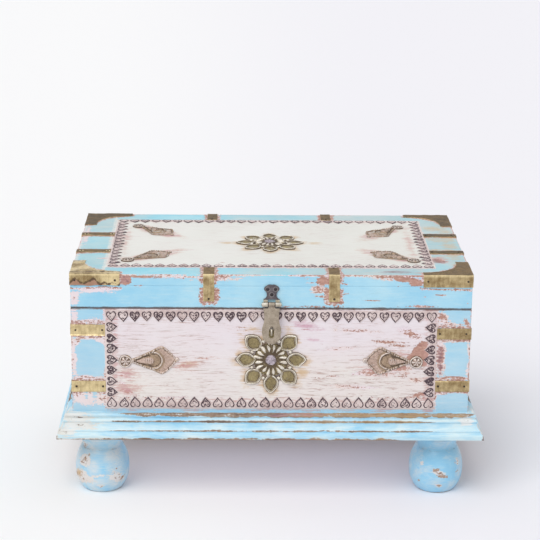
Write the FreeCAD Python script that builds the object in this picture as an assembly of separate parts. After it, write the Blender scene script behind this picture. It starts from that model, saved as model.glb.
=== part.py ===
# A low painted storage chest: a board case and a framed lid on a moulded plinth and four turned feet.
# Lengths are millimetres and angles are degrees. The origin is on the floor under the middle of the
# chest. +X runs to the right as seen from the front, +Y to the back and +Z up.
import FreeCAD, Part
import math
import os

os.makedirs("parts", exist_ok=True)
Vector = FreeCAD.Vector

# Case of boards
body_width = 710.0
body_depth = 430.0
body_show = 193.5
body_wall = 18.0
base_thickness = 22.0
board_edge_round = 1.5

# Lid of a board on four rails
seam_gap = 0.6
lid_rail_height = 40.5
lid_rail_wall = 18.0
lid_board_thickness = 21.0

# Plinth moulding, mitred round the case
plinth_height = 44.0
plinth_overhang = 27.5
# Outline from the bottom of the outer lip to the top, as shares of the overhang and of the height.
# A pair ends a straight run and a four ends an arc through its first pair.
plinth_outline_shares = (
    (1.0, 0.0),
    (1.0, 0.125),
    (0.978, 0.166),
    (0.793, 0.268),
    (0.793, 0.33),
    (0.645, 0.45, 0.553, 0.62),
    (0.585, 0.69, 0.437, 0.795),
    (0.41, 0.83),
    (0.495, 0.90, 0.364, 1.0),
    (0.0, 1.0),
)

# Turned feet, with a spigot up into the base board
foot_height = 118.5
foot_inset = 76.0
foot_ball_radius = 48.8
foot_ball_centre = 38.0
foot_flat_radius = 34.0
foot_waist_radius = 36.5
foot_waist_height = 82.0
foot_ring_step = 1.6
foot_collar_radius = 46.0
foot_collar_band = 14.0
foot_spigot_radius = 14.0
foot_spigot_length = 16.0
spigot_clearance = 0.2
# Arc midpoints of the foot's outline: share of the larger radius and share of the rise.
foot_low_arc_shares = (0.915, 0.42)
foot_high_arc_shares = (0.945, 0.58)
foot_flare_arc_shares = (0.815, 0.52)

# Brass sheet trim
brass_sheet = 1.2
strap_width = 19.5
corner_strap_width = 20.5
strap_end_gap = 0.3
lid_strap_drop = 49.0
# Heights of the corner straps, as shares of the case's visible height down from the seam.
left_strap_shares = (0.21, 0.755)
right_strap_shares = (0.235, 0.745)
# Places of the lid's straps, as shares of the lid's half width and of its half depth.
front_strap_shares = (-0.313, 0.312)
back_strap_shares = (-0.31, 0.318)
end_strap_shares = (-0.288, 0.27)

# Corner brackets of the lid
bracket_leg = 87.0
bracket_flange = 21.5
bracket_front_arm = 17.5
bracket_side_arm = 22.0
bracket_hollow_share = 0.42

# Nails
nail_radius = 1.9
nail_rise = 1.1
nail_inset = 8.0
strap_nail_inset = 5.0

# Pressed heart strips
heart_sheet = 0.8
heart_strip_width = 21.5
heart_pitch = 20.8
heart_band_share = 0.5
front_frame_side = 60.5
front_frame_top = 3.4
front_frame_bottom = 6.0
top_frame_side = 62.0
top_frame_front = 46.0

# Rosettes
petal_count = 8
petal_tip_radius = 64.5
petal_root_radius = 25.0
petal_width = 28.5
petal_rise = 3.2
petal_floor = 1.5
petal_rim = 2.6
petal_middle_share = 0.56
ray_count = 18
ray_inner_radius = 15.5
ray_outer_radius = 29.5
ray_inner_half = 0.9
ray_outer_half = 2.0
hub_radius = 31.0
hub_rise = 1.6
boss_radius = 10.0
boss_rise = 5.0
front_rosette_drop = 94.8

# Leaf ornaments, drawn from the middle of the disc to the tip of the leaf
leaf_length = 92.0
leaf_half_width = 26.0
leaf_sheet = 1.4
leaf_rim_rise = 2.4
leaf_disc_radius = 12.0
leaf_disc_rise = 3.4
leaf_bead_radius = 4.0
leaf_bead_rise = 2.6
leaf_rim_share = 0.82
leaf_outline_shares = (
    (0.41, 0.58, 0.70, 1.0),
    (0.88, 0.62, 1.0, 0.0),
)
leaf_neck_shares = (0.10, 0.13)
drop_length = 56.0
drop_half_width = 12.0
drop_rise = 4.0
drop_crest_share = 0.45
front_leaf_gap = 1.5
front_leaf_drop = 98.8
front_leaf_turn = 2.0
# Disc centres on the lid, in from the corners of the heart frame as shares of the disc's radius,
# and the angle from the end of the lid at which each leaf points inwards.
lid_leaf_shares = {
    "front": ((-1, 1.03, 2.02, 36.3), (1, 1.03, 2.20, 38.8)),
    "back": ((-1, 1.70, 2.33, 43.8), (1, 1.90, 2.47, 49.5)),
}

# Butt hinges on the back
hinge_place_share = 0.606
hinge_length = 60.0
hinge_leaf_height = 24.0
hinge_sheet = 1.5
hinge_knuckle_radius = 3.5
hinge_wall_gap = 0.5
hinge_knuckle_gap = 0.3
hinge_pin_radius = 1.5
pin_fixed_clearance = 0.02
pin_running_clearance = 0.05
hinge_middle_share = 0.36
hinge_screw_radius = 2.8
hinge_screw_top_radius = 2.2
hinge_screw_rise = 0.9
hinge_screw_shares = (-0.36, 0.0, 0.36)

# Hasp hanger on the lid
hasp_axis_drop = 52.5
hasp_axis_out = 7.0
hasp_knuckle_radius = 4.5
hasp_middle_length = 13.2
hasp_barrel_length = 33.4
hasp_pin_radius = 1.8
hasp_pin_head_radius = 3.0
hasp_pin_head_rise = 1.6
hanger_thickness = 3.0
hanger_arm_thickness = 4.5
hanger_height = 26.4
hanger_arm_height = 8.3
hanger_half_width = 14.4
# Right half of the hanger from its top down to its arms, as shares of half width and of height.
hanger_outline_shares = (
    (0.56, 0.03, 0.83, 0.14),
    (0.94, 0.28, 0.79, 0.41),
    (0.64, 0.53, 0.60, 0.70),
    (0.70, 0.88, 1.0, 1.0),
)
hanger_screw_shares = ((-0.50, 0.29), (0.46, 0.29), (0.0, 0.66))
hanger_screw_radius = 3.0
hanger_screw_rise = 1.2

# Slotted hasp plate, hanging from the barrel
hasp_length = 69.5
hasp_thickness = 2.5
hasp_half_width = 17.0
hasp_knuckle_neck = 6.7
# Right half of the plate, as shares of its greatest half width and of its length below the axis.
hasp_outline_shares = (
    (0.87, 0.097),
    (0.79, 0.22, 0.77, 0.36),
    (0.83, 0.48, 0.97, 0.58),
    (1.0, 0.68, 0.95, 0.77),
    (0.83, 0.88, 0.55, 0.95),
    (0.30, 0.995, 0.0, 1.0),
)
hasp_slot_width = 9.0
hasp_slot_height = 21.0
hasp_slot_drop = 49.0
hasp_rest_swing = 15.0

# Staple that the hasp closes over
staple_wire_radius = 1.7
staple_leg_gap = 13.4
staple_reach = 12.0
staple_depth = 14.0
staple_clearance = 0.1

# Run past a face so that a cut or a common volume is clean, and the gap at which an outline is closed
overrun = 5.0
closing_gap = 0.001

# Levels and faces worked out from the sizes above
side_x = body_width / 2
back_y = body_depth / 2
front_y = -back_y
plinth_z = foot_height
plinth_top_z = plinth_z + plinth_height
wall_z = plinth_z + base_thickness
seam_z = plinth_top_z + body_show
lid_z = seam_z + seam_gap
board_z = lid_z + lid_rail_height
top_z = board_z + lid_board_thickness
foot_x = side_x + plinth_overhang - foot_inset
foot_y = back_y + plinth_overhang - foot_inset
hasp_y = front_y - hasp_axis_out
hasp_z = top_z - hasp_axis_drop
hinge_y = back_y + hinge_knuckle_radius + hinge_wall_gap
hinge_z = seam_z + seam_gap / 2
staple_z = hasp_z - hasp_slot_drop
staple_tip_y = hasp_y + hasp_thickness / 2 - staple_reach
origin = Vector(0, 0, 0)
along_x = Vector(1, 0, 0)
along_y = Vector(0, 1, 0)
along_z = Vector(0, 0, 1)

# Turns that point a shape drawn with its thickness up out of each face of the chest
turns = {
    "top": (along_z, 0),
    "front": (along_x, 90),
    "back": (along_x, -90),
    "left": (along_y, -90),
    "right": (along_y, 90),
}


# Shapes shared by the pieces

def flat(a, b):
    return Vector(a, b, 0)


def upright(a, b):
    return Vector(a, 0, b)


def outline(start, runs, place=flat):
    """Closed wire. A pair ends a straight run and a four ends an arc through its first pair."""
    edges = []
    here = place(*start)
    for run in runs:
        there = place(*run[-2:])
        if len(run) == 2:
            edges.append(Part.LineSegment(here, there).toShape())
        else:
            edges.append(Part.Arc(here, place(*run[:2]), there).toShape())
        here = there
    if here.distanceToPoint(place(*start)) > closing_gap:
        edges.append(Part.LineSegment(here, place(*start)).toShape())
    return Part.Wire(edges)


def plate(start, runs, thickness):
    return Part.Face(outline(start, runs)).extrude(Vector(0, 0, thickness))


def scaled(runs, first, second):
    """Runs given as shares, made real by the size that each coordinate follows."""
    sizes = (first, second)
    return [tuple(value * sizes[place % 2] for place, value in enumerate(run)) for run in runs]


def block(x_range, y_range, z_range):
    low = Vector(x_range[0], y_range[0], z_range[0])
    high = Vector(x_range[1], y_range[1], z_range[1])
    size = high - low
    return Part.makeBox(size.x, size.y, size.z, low)


def rod(start, direction, radius, length):
    return Part.makeCylinder(radius, length, start, direction)


def rod_x(middle, radius, length):
    return rod(middle - along_x * (length / 2), along_x, radius, length)


def dome(radius, rise):
    """Cap of a ball, with its flat side on the XY plane."""
    ball = (radius ** 2 + rise ** 2) / (2 * rise)
    lowest = math.degrees(math.asin((ball - rise) / ball))
    return Part.makeSphere(ball, Vector(0, 0, rise - ball), along_z, lowest, 90)


def joined(solids):
    whole = solids[0].fuse(solids[1:]).removeSplitter()
    return whole.Solids[0] if len(whole.Solids) == 1 else whole


def both_halves(half, across):
    return joined([half, half.mirror(origin, across)])


def facing(shape, side, where):
    """Copy of a shape drawn with its thickness up, turned out of one face and set down there."""
    axis, angle = turns[side]
    copy = shape.copy()
    copy.rotate(origin, axis, angle)
    copy.translate(where)
    return copy


def mirrored_x(shape):
    return shape.mirror(origin, along_x)


def mirrored_y(shape):
    return shape.mirror(origin, along_y)


def save(name, *solids):
    shape = solids[0] if len(solids) == 1 else Part.makeCompound(list(solids))
    shape.exportStep("parts/" + name + ".step")
    print(name, len(shape.Solids), "solid", "valid" if shape.isValid() else "NOT VALID")


def rounded_uprights(board, corners):
    """Board with a small round on its upright edges at the given corners of the plan."""
    edges = []
    for edge in board.Edges:
        ends = [vertex.Point for vertex in edge.Vertexes]
        is_upright = abs(ends[0].z - ends[1].z) > overrun
        near = [math.hypot(ends[0].x - x, ends[0].y - y) < board_edge_round for x, y in corners]
        if is_upright and any(near):
            edges.append(edge)
    return board.makeFillet(board_edge_round, edges)


# Case boards: the front and back run the full width, the ends stand between them

def make_case():
    walls = (wall_z, seam_z)
    front = block((-side_x, side_x), (front_y, front_y + body_wall), walls)
    front = rounded_uprights(front, [(-side_x, front_y), (side_x, front_y)])
    back = mirrored_y(front)
    for sign in (-1, 1):
        leg_z = staple_z + sign * staple_leg_gap / 2
        hole = rod(Vector(0, front_y - overrun, leg_z), along_y,
                   staple_wire_radius + staple_clearance, overrun + staple_depth)
        front = front.cut(hole)
    left = block((-side_x, -side_x + body_wall), (front_y + body_wall, back_y - body_wall), walls)
    base = block((-side_x, side_x), (front_y, back_y), (plinth_z, wall_z))
    for x, y in foot_places():
        socket = rod(Vector(x, y, plinth_z - overrun), along_z,
                     foot_spigot_radius + spigot_clearance, overrun + foot_spigot_length + spigot_clearance)
        base = base.cut(socket)
    save("front_board", front)
    save("back_board", back)
    save("left_end_board", left)
    save("right_end_board", mirrored_x(left))
    save("base_board", base)


# Plinth moulding: one profile run along each side and mitred at the corners

def moulding(length_half, face, place, run_direction):
    runs = scaled(plinth_outline_shares, plinth_overhang, plinth_height)
    profile = Part.Face(outline((0, 0), runs, place))
    reach = length_half + plinth_overhang + overrun
    bar = profile.extrude(run_direction * (2 * reach))
    bar.translate(run_direction * -reach)
    inner = length_half - overrun
    outer = length_half + plinth_overhang + overrun
    near = face - overrun
    far = face + plinth_overhang + overrun
    corners = [(-inner, near), (inner, near), (outer, far), (-outer, far)]
    if run_direction == along_x:
        plan = [Vector(a, -b, plinth_z - overrun) for a, b in corners]
    else:
        plan = [Vector(b, a, plinth_z - overrun) for a, b in corners]
    wedge = Part.Face(Part.makePolygon(plan + plan[:1])).extrude(along_z * (plinth_height + 2 * overrun))
    return bar.common(wedge).Solids[0]


def make_plinth():
    front = moulding(side_x, back_y, lambda p, h: Vector(0, front_y - p, plinth_z + h), along_x)
    right = moulding(back_y, side_x, lambda p, h: Vector(side_x + p, 0, plinth_z + h), along_y)
    save("plinth_moulding_front", front)
    save("plinth_moulding_back", mirrored_y(front))
    save("plinth_moulding_right", right)
    save("plinth_moulding_left", mirrored_x(right))


# Turned feet: flattened ball, ring, waist, flared collar and spigot

def foot_places():
    return [(sx * foot_x, sy * foot_y) for sy in (-1, 1) for sx in (-1, 1)]


def between(low, high, share):
    return low + (high - low) * share


def turned_foot():
    collar_z = foot_height - foot_collar_band
    ring_radius = foot_waist_radius + foot_ring_step
    low_share, low_rise = foot_low_arc_shares
    high_share, high_rise = foot_high_arc_shares
    flare_share, flare_rise = foot_flare_arc_shares
    ring_z = foot_waist_height
    neck_z = ring_z + foot_ring_step
    flare_z = between(neck_z, collar_z, flare_rise)
    spigot_z = foot_height + foot_spigot_length
    runs = [
        (foot_flat_radius, 0),
        (foot_ball_radius * low_share, foot_ball_centre * low_rise, foot_ball_radius, foot_ball_centre),
        (foot_ball_radius * high_share, between(foot_ball_centre, ring_z, high_rise), ring_radius, ring_z),
        (foot_waist_radius, ring_z),
        (foot_waist_radius, neck_z),
        (foot_collar_radius * flare_share, flare_z, foot_collar_radius, collar_z),
        (foot_collar_radius, foot_height),
        (foot_spigot_radius, foot_height),
        (foot_spigot_radius, spigot_z),
        (0, spigot_z),
    ]
    return Part.Face(outline((0, 0), runs, upright)).revolve(origin, along_z, 360)


def make_feet():
    foot = turned_foot()
    names = ("front_left", "front_right", "back_left", "back_right")
    for name, (x, y) in zip(names, foot_places()):
        save("foot_" + name, facing(foot, "top", Vector(x, y, 0)))


# Corner straps of the case, folded round each upright corner

def folded_corner_strap(middle_z):
    """Strap round the front left corner, with both legs as long as the side of the front frame."""
    low = middle_z - corner_strap_width / 2
    high = middle_z + corner_strap_width / 2
    leg = front_frame_side - strap_end_gap
    on_front = block((-side_x - brass_sheet, -side_x + leg), (front_y - brass_sheet, front_y), (low, high))
    on_end = block((-side_x - brass_sheet, -side_x), (front_y - brass_sheet, front_y + leg), (low, high))
    return joined([on_front, on_end])


def corner_strap_nails(middle_z):
    """Two nails on each leg of the strap round the front left corner."""
    leg = front_frame_side - strap_end_gap
    nail = dome(nail_radius, nail_rise)
    nails = []
    for along in (nail_inset, leg - strap_nail_inset):
        nails.append(facing(nail, "front", Vector(-side_x + along, front_y - brass_sheet, middle_z)))
        nails.append(facing(nail, "left", Vector(-side_x - brass_sheet, front_y + along, middle_z)))
    return nails


def make_corner_straps():
    nails = []
    for side, shares in (("left", left_strap_shares), ("right", right_strap_shares)):
        levels = [seam_z - share * body_show for share in shares]
        straps = [folded_corner_strap(level) for level in levels]
        heads = [head for level in levels for head in corner_strap_nails(level)]
        if side == "right":
            straps = [mirrored_x(strap) for strap in straps]
            heads = [mirrored_x(head) for head in heads]
        save("corner_straps_front_" + side, *straps)
        save("corner_straps_back_" + side, *[mirrored_y(strap) for strap in straps])
        nails += heads + [mirrored_y(head) for head in heads]
    save("body_strap_nails", *nails)


# Heart strips: pressed sheet with a straight outer edge and a row of points on the inner edge

def heart_strip(length):
    """Strip along +X from the origin, with its points towards +Y."""
    count = round(length / heart_pitch)
    pitch = length / count
    band = heart_strip_width * heart_band_share
    runs = [(0, band)]
    for number in range(count):
        runs.append((pitch * (number + 0.5), heart_strip_width))
        runs.append((pitch * (number + 1), band))
    runs.append((length, 0))
    return plate((0, 0), runs, heart_sheet)


def heart_frame(width, height):
    """Four strips of a frame centred on the origin: bottom, top, left and right."""
    row = heart_strip(width)
    row.translate(Vector(-width / 2, -height / 2, 0))
    column_length = height - 2 * heart_strip_width
    column = heart_strip(column_length)
    column.rotate(origin, along_z, -90)
    column.translate(Vector(-width / 2, column_length / 2, 0))
    return row, mirrored_y(row), column, mirrored_x(column)


def make_front_hearts():
    width = body_width - 2 * front_frame_side
    height = body_show - front_frame_top - front_frame_bottom
    middle = Vector(0, front_y, seam_z - front_frame_top - height / 2)
    for name, strip in zip(("bottom", "top", "left", "right"), heart_frame(width, height)):
        save("front_heart_strip_" + name, facing(strip, "front", middle))


def make_lid_hearts():
    width = body_width - 2 * top_frame_side
    depth = body_depth - 2 * top_frame_front
    for name, strip in zip(("front", "back", "left", "right"), heart_frame(width, depth)):
        save("lid_heart_strip_" + name, facing(strip, "top", Vector(0, 0, top_z)))


# Rosettes: eight rimmed petals, a ring of rays and a domed boss on a round hub

def petal_form(inset, thickness):
    """Pointed oval along +Y, drawn inside the petal's outline by the inset."""
    root = petal_root_radius + inset
    tip = petal_tip_radius - inset * 2
    middle = between(petal_root_radius, petal_tip_radius, petal_middle_share)
    half = plate((0, root), [(petal_width / 2 - inset, middle, 0, tip)], thickness)
    return both_halves(half, along_x)


def rosette():
    pocket = petal_form(petal_rim, petal_rise)
    pocket.translate(along_z * petal_floor)
    petal = petal_form(0, petal_rise).cut(pocket)
    pieces = [rod(origin, along_z, hub_radius, hub_rise)]
    for number in range(petal_count):
        copy = petal.copy()
        copy.rotate(origin, along_z, 360 * number / petal_count)
        pieces.append(copy)
    ray_length = ray_outer_radius - ray_inner_radius
    ray_start = Vector(0, ray_inner_radius, hub_rise)
    ray = Part.makeCone(ray_inner_half, ray_outer_half, ray_length, ray_start, along_y)
    above_floor = block((-hub_radius, hub_radius), (0, hub_radius), (0, hub_radius))
    ray = ray.common(above_floor)
    for number in range(ray_count):
        copy = ray.copy()
        copy.rotate(origin, along_z, 360 * (number + 0.5) / ray_count)
        pieces.append(copy)
    boss = dome(boss_radius, boss_rise)
    boss.translate(along_z * (hub_rise / 2))
    pieces.append(boss)
    return joined(pieces)


def make_rosettes():
    flower = rosette()
    save("top_rosette", facing(flower, "top", Vector(0, 0, top_z)))
    on_front = facing(flower, "front", Vector(0, front_y, seam_z - front_rosette_drop))
    for sign in (-1, 1):
        hole = rod(Vector(0, front_y + overrun, staple_z + sign * staple_leg_gap / 2), -along_y,
                   staple_wire_radius + staple_clearance, 2 * overrun)
        on_front = on_front.cut(hole)
    save("front_rosette", on_front.Solids[0])


# Leaf ornaments: a disc, a rimmed leaf with a raised drop on it, and a bead at its tip

def leaf_form(share, thickness):
    """Leaf outline shrunk about its widest place by the share."""
    centre = leaf_length * leaf_outline_shares[0][2]
    neck = leaf_length * leaf_neck_shares[0]
    runs = [(neck, leaf_half_width * leaf_neck_shares[1])]
    runs += scaled(leaf_outline_shares, leaf_length, leaf_half_width)
    shrunk = []
    for run in runs:
        points = []
        for place, value in enumerate(run):
            points.append(between(centre, value, share) if place % 2 == 0 else value * share)
        shrunk.append(tuple(points))
    half = plate((between(centre, neck, share), 0), shrunk, thickness)
    return both_halves(half, along_y)


def drop_form(share, height):
    """Face of a drop with a pointed end at the disc and a round end at the eye, at a height."""
    eye = leaf_length * leaf_outline_shares[0][2]
    start = eye - (drop_length - drop_half_width) * share
    half_width = drop_half_width * share
    rim = eye + half_width
    edges = [
        Part.LineSegment(Vector(start, 0, height), Vector(eye, half_width, height)).toShape(),
        Part.Arc(Vector(eye, half_width, height), Vector(rim, 0, height),
                 Vector(eye, -half_width, height)).toShape(),
        Part.LineSegment(Vector(eye, -half_width, height), Vector(start, 0, height)).toShape(),
    ]
    return Part.Wire(edges)


def leaf_ornament():
    pocket = leaf_form(leaf_rim_share, leaf_rim_rise)
    pocket.translate(along_z * leaf_sheet)
    leaf = leaf_form(1, leaf_rim_rise).cut(pocket)
    drop = Part.makeLoft([drop_form(1, leaf_sheet / 2), drop_form(drop_crest_share, drop_rise)], True, True)
    disc = dome(leaf_disc_radius, leaf_disc_rise)
    bead = dome(leaf_bead_radius, leaf_bead_rise)
    bead.translate(along_x * leaf_length)
    return joined([leaf, drop, disc, bead])


def make_leaves():
    leaf = leaf_ornament()
    turned = leaf.copy()
    turned.rotate(origin, along_z, front_leaf_turn)
    disc_inset = front_frame_side + heart_strip_width + front_leaf_gap + leaf_disc_radius
    left = facing(turned, "front", Vector(-side_x + disc_inset, front_y, seam_z - front_leaf_drop))
    save("front_leaf_left", left)
    save("front_leaf_right", mirrored_x(left))
    corner_x = side_x - top_frame_side - heart_strip_width
    corner_y = back_y - top_frame_front - heart_strip_width
    for side, places in lid_leaf_shares.items():
        leaves = []
        for hand, across_share, deep_share, angle in places:
            copy = leaf.copy()
            copy.rotate(origin, along_z, angle)
            copy.translate(Vector(leaf_disc_radius * across_share - corner_x,
                                  leaf_disc_radius * deep_share - corner_y, top_z))
            if hand > 0:
                copy = mirrored_x(copy)
            if side == "back":
                copy = mirrored_y(copy)
            leaves.append(copy)
        save("lid_leaves_" + side, *leaves)


# Lid: a board on four rails, open below

def make_lid():
    rails = (lid_z, board_z)
    board = block((-side_x, side_x), (front_y, back_y), (board_z, top_z))
    corners = [(sx * side_x, sy * back_y) for sx in (-1, 1) for sy in (-1, 1)]
    front = block((-side_x, side_x), (front_y, front_y + lid_rail_wall), rails)
    front = rounded_uprights(front, corners)
    left = block((-side_x, -side_x + lid_rail_wall), (front_y + lid_rail_wall, back_y - lid_rail_wall), rails)
    save("lid_board", rounded_uprights(board, corners))
    save("lid_rail_front", front)
    save("lid_rail_back", mirrored_y(front))
    save("lid_rail_left", left)
    save("lid_rail_right", mirrored_x(left))


# Corner brackets: a top plate with a hollow inner edge and a flange down each side

def corner_bracket():
    """Bracket on the front left corner of the lid."""
    lip = brass_sheet
    hollow = bracket_leg * bracket_hollow_share
    runs = [
        (bracket_leg, -lip),
        (bracket_leg, bracket_front_arm),
        (hollow, hollow, bracket_side_arm, bracket_leg),
        (-lip, bracket_leg),
    ]
    top = plate((-lip, -lip), runs, brass_sheet)
    on_front = block((-lip, bracket_leg), (-lip, 0), (-bracket_flange, brass_sheet))
    on_end = block((-lip, 0), (-lip, bracket_leg), (-bracket_flange, brass_sheet))
    return facing(joined([top, on_front, on_end]), "top", Vector(-side_x, front_y, top_z))


def bracket_nails():
    nail = dome(nail_radius, nail_rise)
    middle_z = top_z - bracket_flange / 2
    nails = []
    for along in (nail_inset, bracket_leg - nail_inset):
        nails.append(facing(nail, "front", Vector(-side_x + along, front_y - brass_sheet, middle_z)))
        nails.append(facing(nail, "left", Vector(-side_x - brass_sheet, front_y + along, middle_z)))
    return nails


# Lid straps: from the heart frame over the edge and down the rail

def lid_strap(centre, inset, side):
    """Strap over one edge of the lid, with its nails."""
    half = strap_width / 2
    top_leg = inset - strap_end_gap
    nail = dome(nail_radius, nail_rise)
    low = top_z - lid_strap_drop
    high = top_z + brass_sheet
    nail_z = low + strap_nail_inset
    if side == "front":
        across = (centre - half, centre + half)
        over = block(across, (front_y - brass_sheet, front_y + top_leg), (top_z, high))
        down = block(across, (front_y - brass_sheet, front_y), (low, high))
        heads = [
            facing(nail, "front", Vector(centre, front_y - brass_sheet, nail_z)),
            facing(nail, "top", Vector(centre, front_y + top_leg - strap_nail_inset, high)),
        ]
    else:
        across = (centre - half, centre + half)
        over = block((-side_x - brass_sheet, -side_x + top_leg), across, (top_z, high))
        down = block((-side_x - brass_sheet, -side_x), across, (low, high))
        heads = [
            facing(nail, "left", Vector(-side_x - brass_sheet, centre, nail_z)),
            facing(nail, "top", Vector(-side_x + nail_inset, centre, high)),
            facing(nail, "top", Vector(-side_x + top_leg - strap_nail_inset, centre, high)),
        ]
    return joined([over, down]), heads


def make_lid_trim():
    nails = []
    bracket = corner_bracket()
    heads = bracket_nails()
    keep = lambda shape: shape
    for name, flip_x, flip_y in (
        ("front_left", keep, keep),
        ("front_right", mirrored_x, keep),
        ("back_left", keep, mirrored_y),
        ("back_right", mirrored_x, mirrored_y),
    ):
        save("corner_bracket_" + name, flip_x(flip_y(bracket)))
        nails += [flip_x(flip_y(head)) for head in heads]
    for name, shares, inset, reach, kind, flip in (
        ("front", front_strap_shares, top_frame_front, side_x, "front", keep),
        ("back", back_strap_shares, top_frame_front, side_x, "front", mirrored_y),
        ("left", end_strap_shares, top_frame_side, back_y, "left", keep),
        ("right", end_strap_shares, top_frame_side, back_y, "left", mirrored_x),
    ):
        straps = []
        for share in shares:
            strap, strap_heads = lid_strap(reach * share, inset, kind)
            straps.append(flip(strap))
            nails += [flip(head) for head in strap_heads]
        save("lid_straps_" + name, *straps)
    save("lid_nails", *nails)


# Butt hinges: leaves on the outer faces, three knuckles and a pin between the knuckles

def hinge_leaf(knuckles, direction, bore):
    """Leaf centred on x = 0, going up or down from the axis, with its knuckles bored for the pin."""
    knuckle_clear = hinge_knuckle_radius + hinge_wall_gap
    near = hinge_z + direction * knuckle_clear
    far = hinge_z + direction * hinge_leaf_height
    half = hinge_length / 2
    sheet_y = (back_y, back_y + hinge_sheet)
    pieces = [block((-half, half), sheet_y, (min(near, far), max(near, far)))]
    for low, high in knuckles:
        pieces.append(block((low, high), sheet_y, (min(near, hinge_z), max(near, hinge_z))))
        start = Vector(low, hinge_y, hinge_z)
        pieces.append(rod(start, along_x, hinge_knuckle_radius, high - low))
    leaf = joined(pieces)
    through = rod_x(Vector(0, hinge_y, hinge_z), bore, hinge_length + 2 * overrun)
    return leaf.cut(through).Solids[0]


def make_hinges():
    half = hinge_length / 2
    middle_half = hinge_length * hinge_middle_share / 2
    outer = middle_half + hinge_knuckle_gap
    body_leaf = hinge_leaf([(-half, -outer), (outer, half)], -1, hinge_pin_radius + pin_fixed_clearance)
    lid_leaf = hinge_leaf([(-middle_half, middle_half)], 1, hinge_pin_radius + pin_running_clearance)
    pin = rod_x(Vector(0, hinge_y, hinge_z), hinge_pin_radius, hinge_length)
    place = side_x * hinge_place_share
    screw = Part.makeCone(hinge_screw_radius, hinge_screw_top_radius, hinge_screw_rise)
    screw_y = back_y + hinge_sheet
    pins = []
    screws = {-1: [], 1: []}
    screw_rise = (hinge_knuckle_radius + hinge_wall_gap + hinge_leaf_height) / 2
    for side, sign in (("left", -1), ("right", 1)):
        shift = along_x * (sign * place)
        save("hinge_body_leaf_" + side, facing(body_leaf, "top", shift))
        save("hinge_lid_leaf_" + side, facing(lid_leaf, "top", shift))
        pins.append(facing(pin, "top", shift))
        for share in hinge_screw_shares:
            for level in (-1, 1):
                spot = Vector(sign * place + share * hinge_length, screw_y, hinge_z + level * screw_rise)
                screws[level].append(facing(screw, "back", spot))
    save("hinge_pins", *pins)
    save("hinge_body_screws", *screws[-1])
    save("hinge_lid_screws", *screws[1])


# Hasp: hanger with two knuckles on the lid, slotted plate on the pin between them, staple on the case

def hanger():
    """Waisted plate that flares out into two arms, which carry the outer knuckles."""
    arm_z = hasp_z + hanger_arm_height
    top = arm_z + hanger_height
    runs = scaled(hanger_outline_shares, hanger_half_width, -hanger_height)
    half_plate = plate((0, 0), runs + [(0, -hanger_height)], hanger_thickness)
    pieces = [facing(both_halves(half_plate, along_x), "front", Vector(0, front_y, top))]
    inner = hasp_middle_length / 2 + hinge_knuckle_gap
    outer = hasp_barrel_length / 2
    arm_y = (front_y - hanger_arm_thickness, front_y)
    for low, high in ((-hanger_half_width, -inner), (inner, hanger_half_width)):
        pieces.append(block((low, high), arm_y, (hasp_z, arm_z)))
    for low, high in ((-outer, -inner), (inner, outer)):
        pieces.append(rod(Vector(low, hasp_y, hasp_z), along_x, hasp_knuckle_radius, high - low))
    bore_length = hasp_barrel_length + 2 * overrun
    bore = rod_x(Vector(0, hasp_y, hasp_z), hasp_pin_radius + pin_fixed_clearance, bore_length)
    return joined(pieces).cut(bore).Solids[0], top


def hasp_plate():
    """Plate hanging straight down from the barrel, then swung out to its rest."""
    runs = scaled(hasp_outline_shares, hasp_half_width, -hasp_length)
    neck = hasp_middle_length / 2
    start = [(neck, 0), (neck, -hasp_knuckle_neck)]
    half = plate((0, 0), start + runs, hasp_thickness)
    sheet = both_halves(half, along_x)
    slot_half = hasp_slot_width / 2
    slot_straight = (hasp_slot_height - hasp_slot_width) / 2
    low = -hasp_slot_drop - slot_straight
    high = -hasp_slot_drop + slot_straight
    slot = plate((-slot_half, low), [(0, low - slot_half, slot_half, low), (slot_half, high),
                                     (0, high + slot_half, -slot_half, high)], hasp_thickness + 2 * overrun)
    slot.translate(along_z * -overrun)
    hung = facing(sheet.cut(slot), "front", Vector(0, hasp_y + hasp_thickness / 2, hasp_z))
    barrel = rod_x(Vector(0, hasp_y, hasp_z), hasp_knuckle_radius, hasp_middle_length)
    bore = rod_x(Vector(0, hasp_y, hasp_z), hasp_pin_radius + pin_running_clearance, hasp_barrel_length)
    swung = joined([hung, barrel]).cut(bore).Solids[0]
    swung.rotate(Vector(0, hasp_y, hasp_z), along_x, -hasp_rest_swing)
    return swung


def staple():
    """Loop of wire in the upright plane, with two legs into the front board."""
    turn_radius = staple_leg_gap / 2
    bend_y = staple_tip_y + staple_wire_radius + turn_radius
    pieces = []
    for sign in (-1, 1):
        leg = Vector(0, bend_y, staple_z + sign * turn_radius)
        pieces.append(rod(leg, along_y, staple_wire_radius, front_y + staple_depth - bend_y))
    circle = Part.makeCircle(staple_wire_radius, Vector(0, bend_y, staple_z + turn_radius), along_y)
    bend = Part.Face(Part.Wire(circle)).revolve(Vector(0, bend_y, staple_z), along_x, 180)
    return joined(pieces + [bend])


def make_hasp():
    plate_with_arms, top = hanger()
    save("hasp_hanger", plate_with_arms)
    head = dome(hanger_screw_radius, hanger_screw_rise)
    screws = []
    for across_share, down_share in hanger_screw_shares:
        spot = Vector(hanger_half_width * across_share, front_y - hanger_thickness,
                      top - hanger_height * down_share)
        screws.append(facing(head, "front", spot))
    save("hanger_screws", *screws)
    pin = [rod_x(Vector(0, hasp_y, hasp_z), hasp_pin_radius, hasp_barrel_length)]
    for side, sign in (("left", -1), ("right", 1)):
        rivet = dome(hasp_pin_head_radius, hasp_pin_head_rise)
        pin.append(facing(rivet, side, Vector(sign * hasp_barrel_length / 2, hasp_y, hasp_z)))
    save("hasp_pin", joined(pin))
    save("hasp_plate", hasp_plate())
    save("staple", staple())


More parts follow.
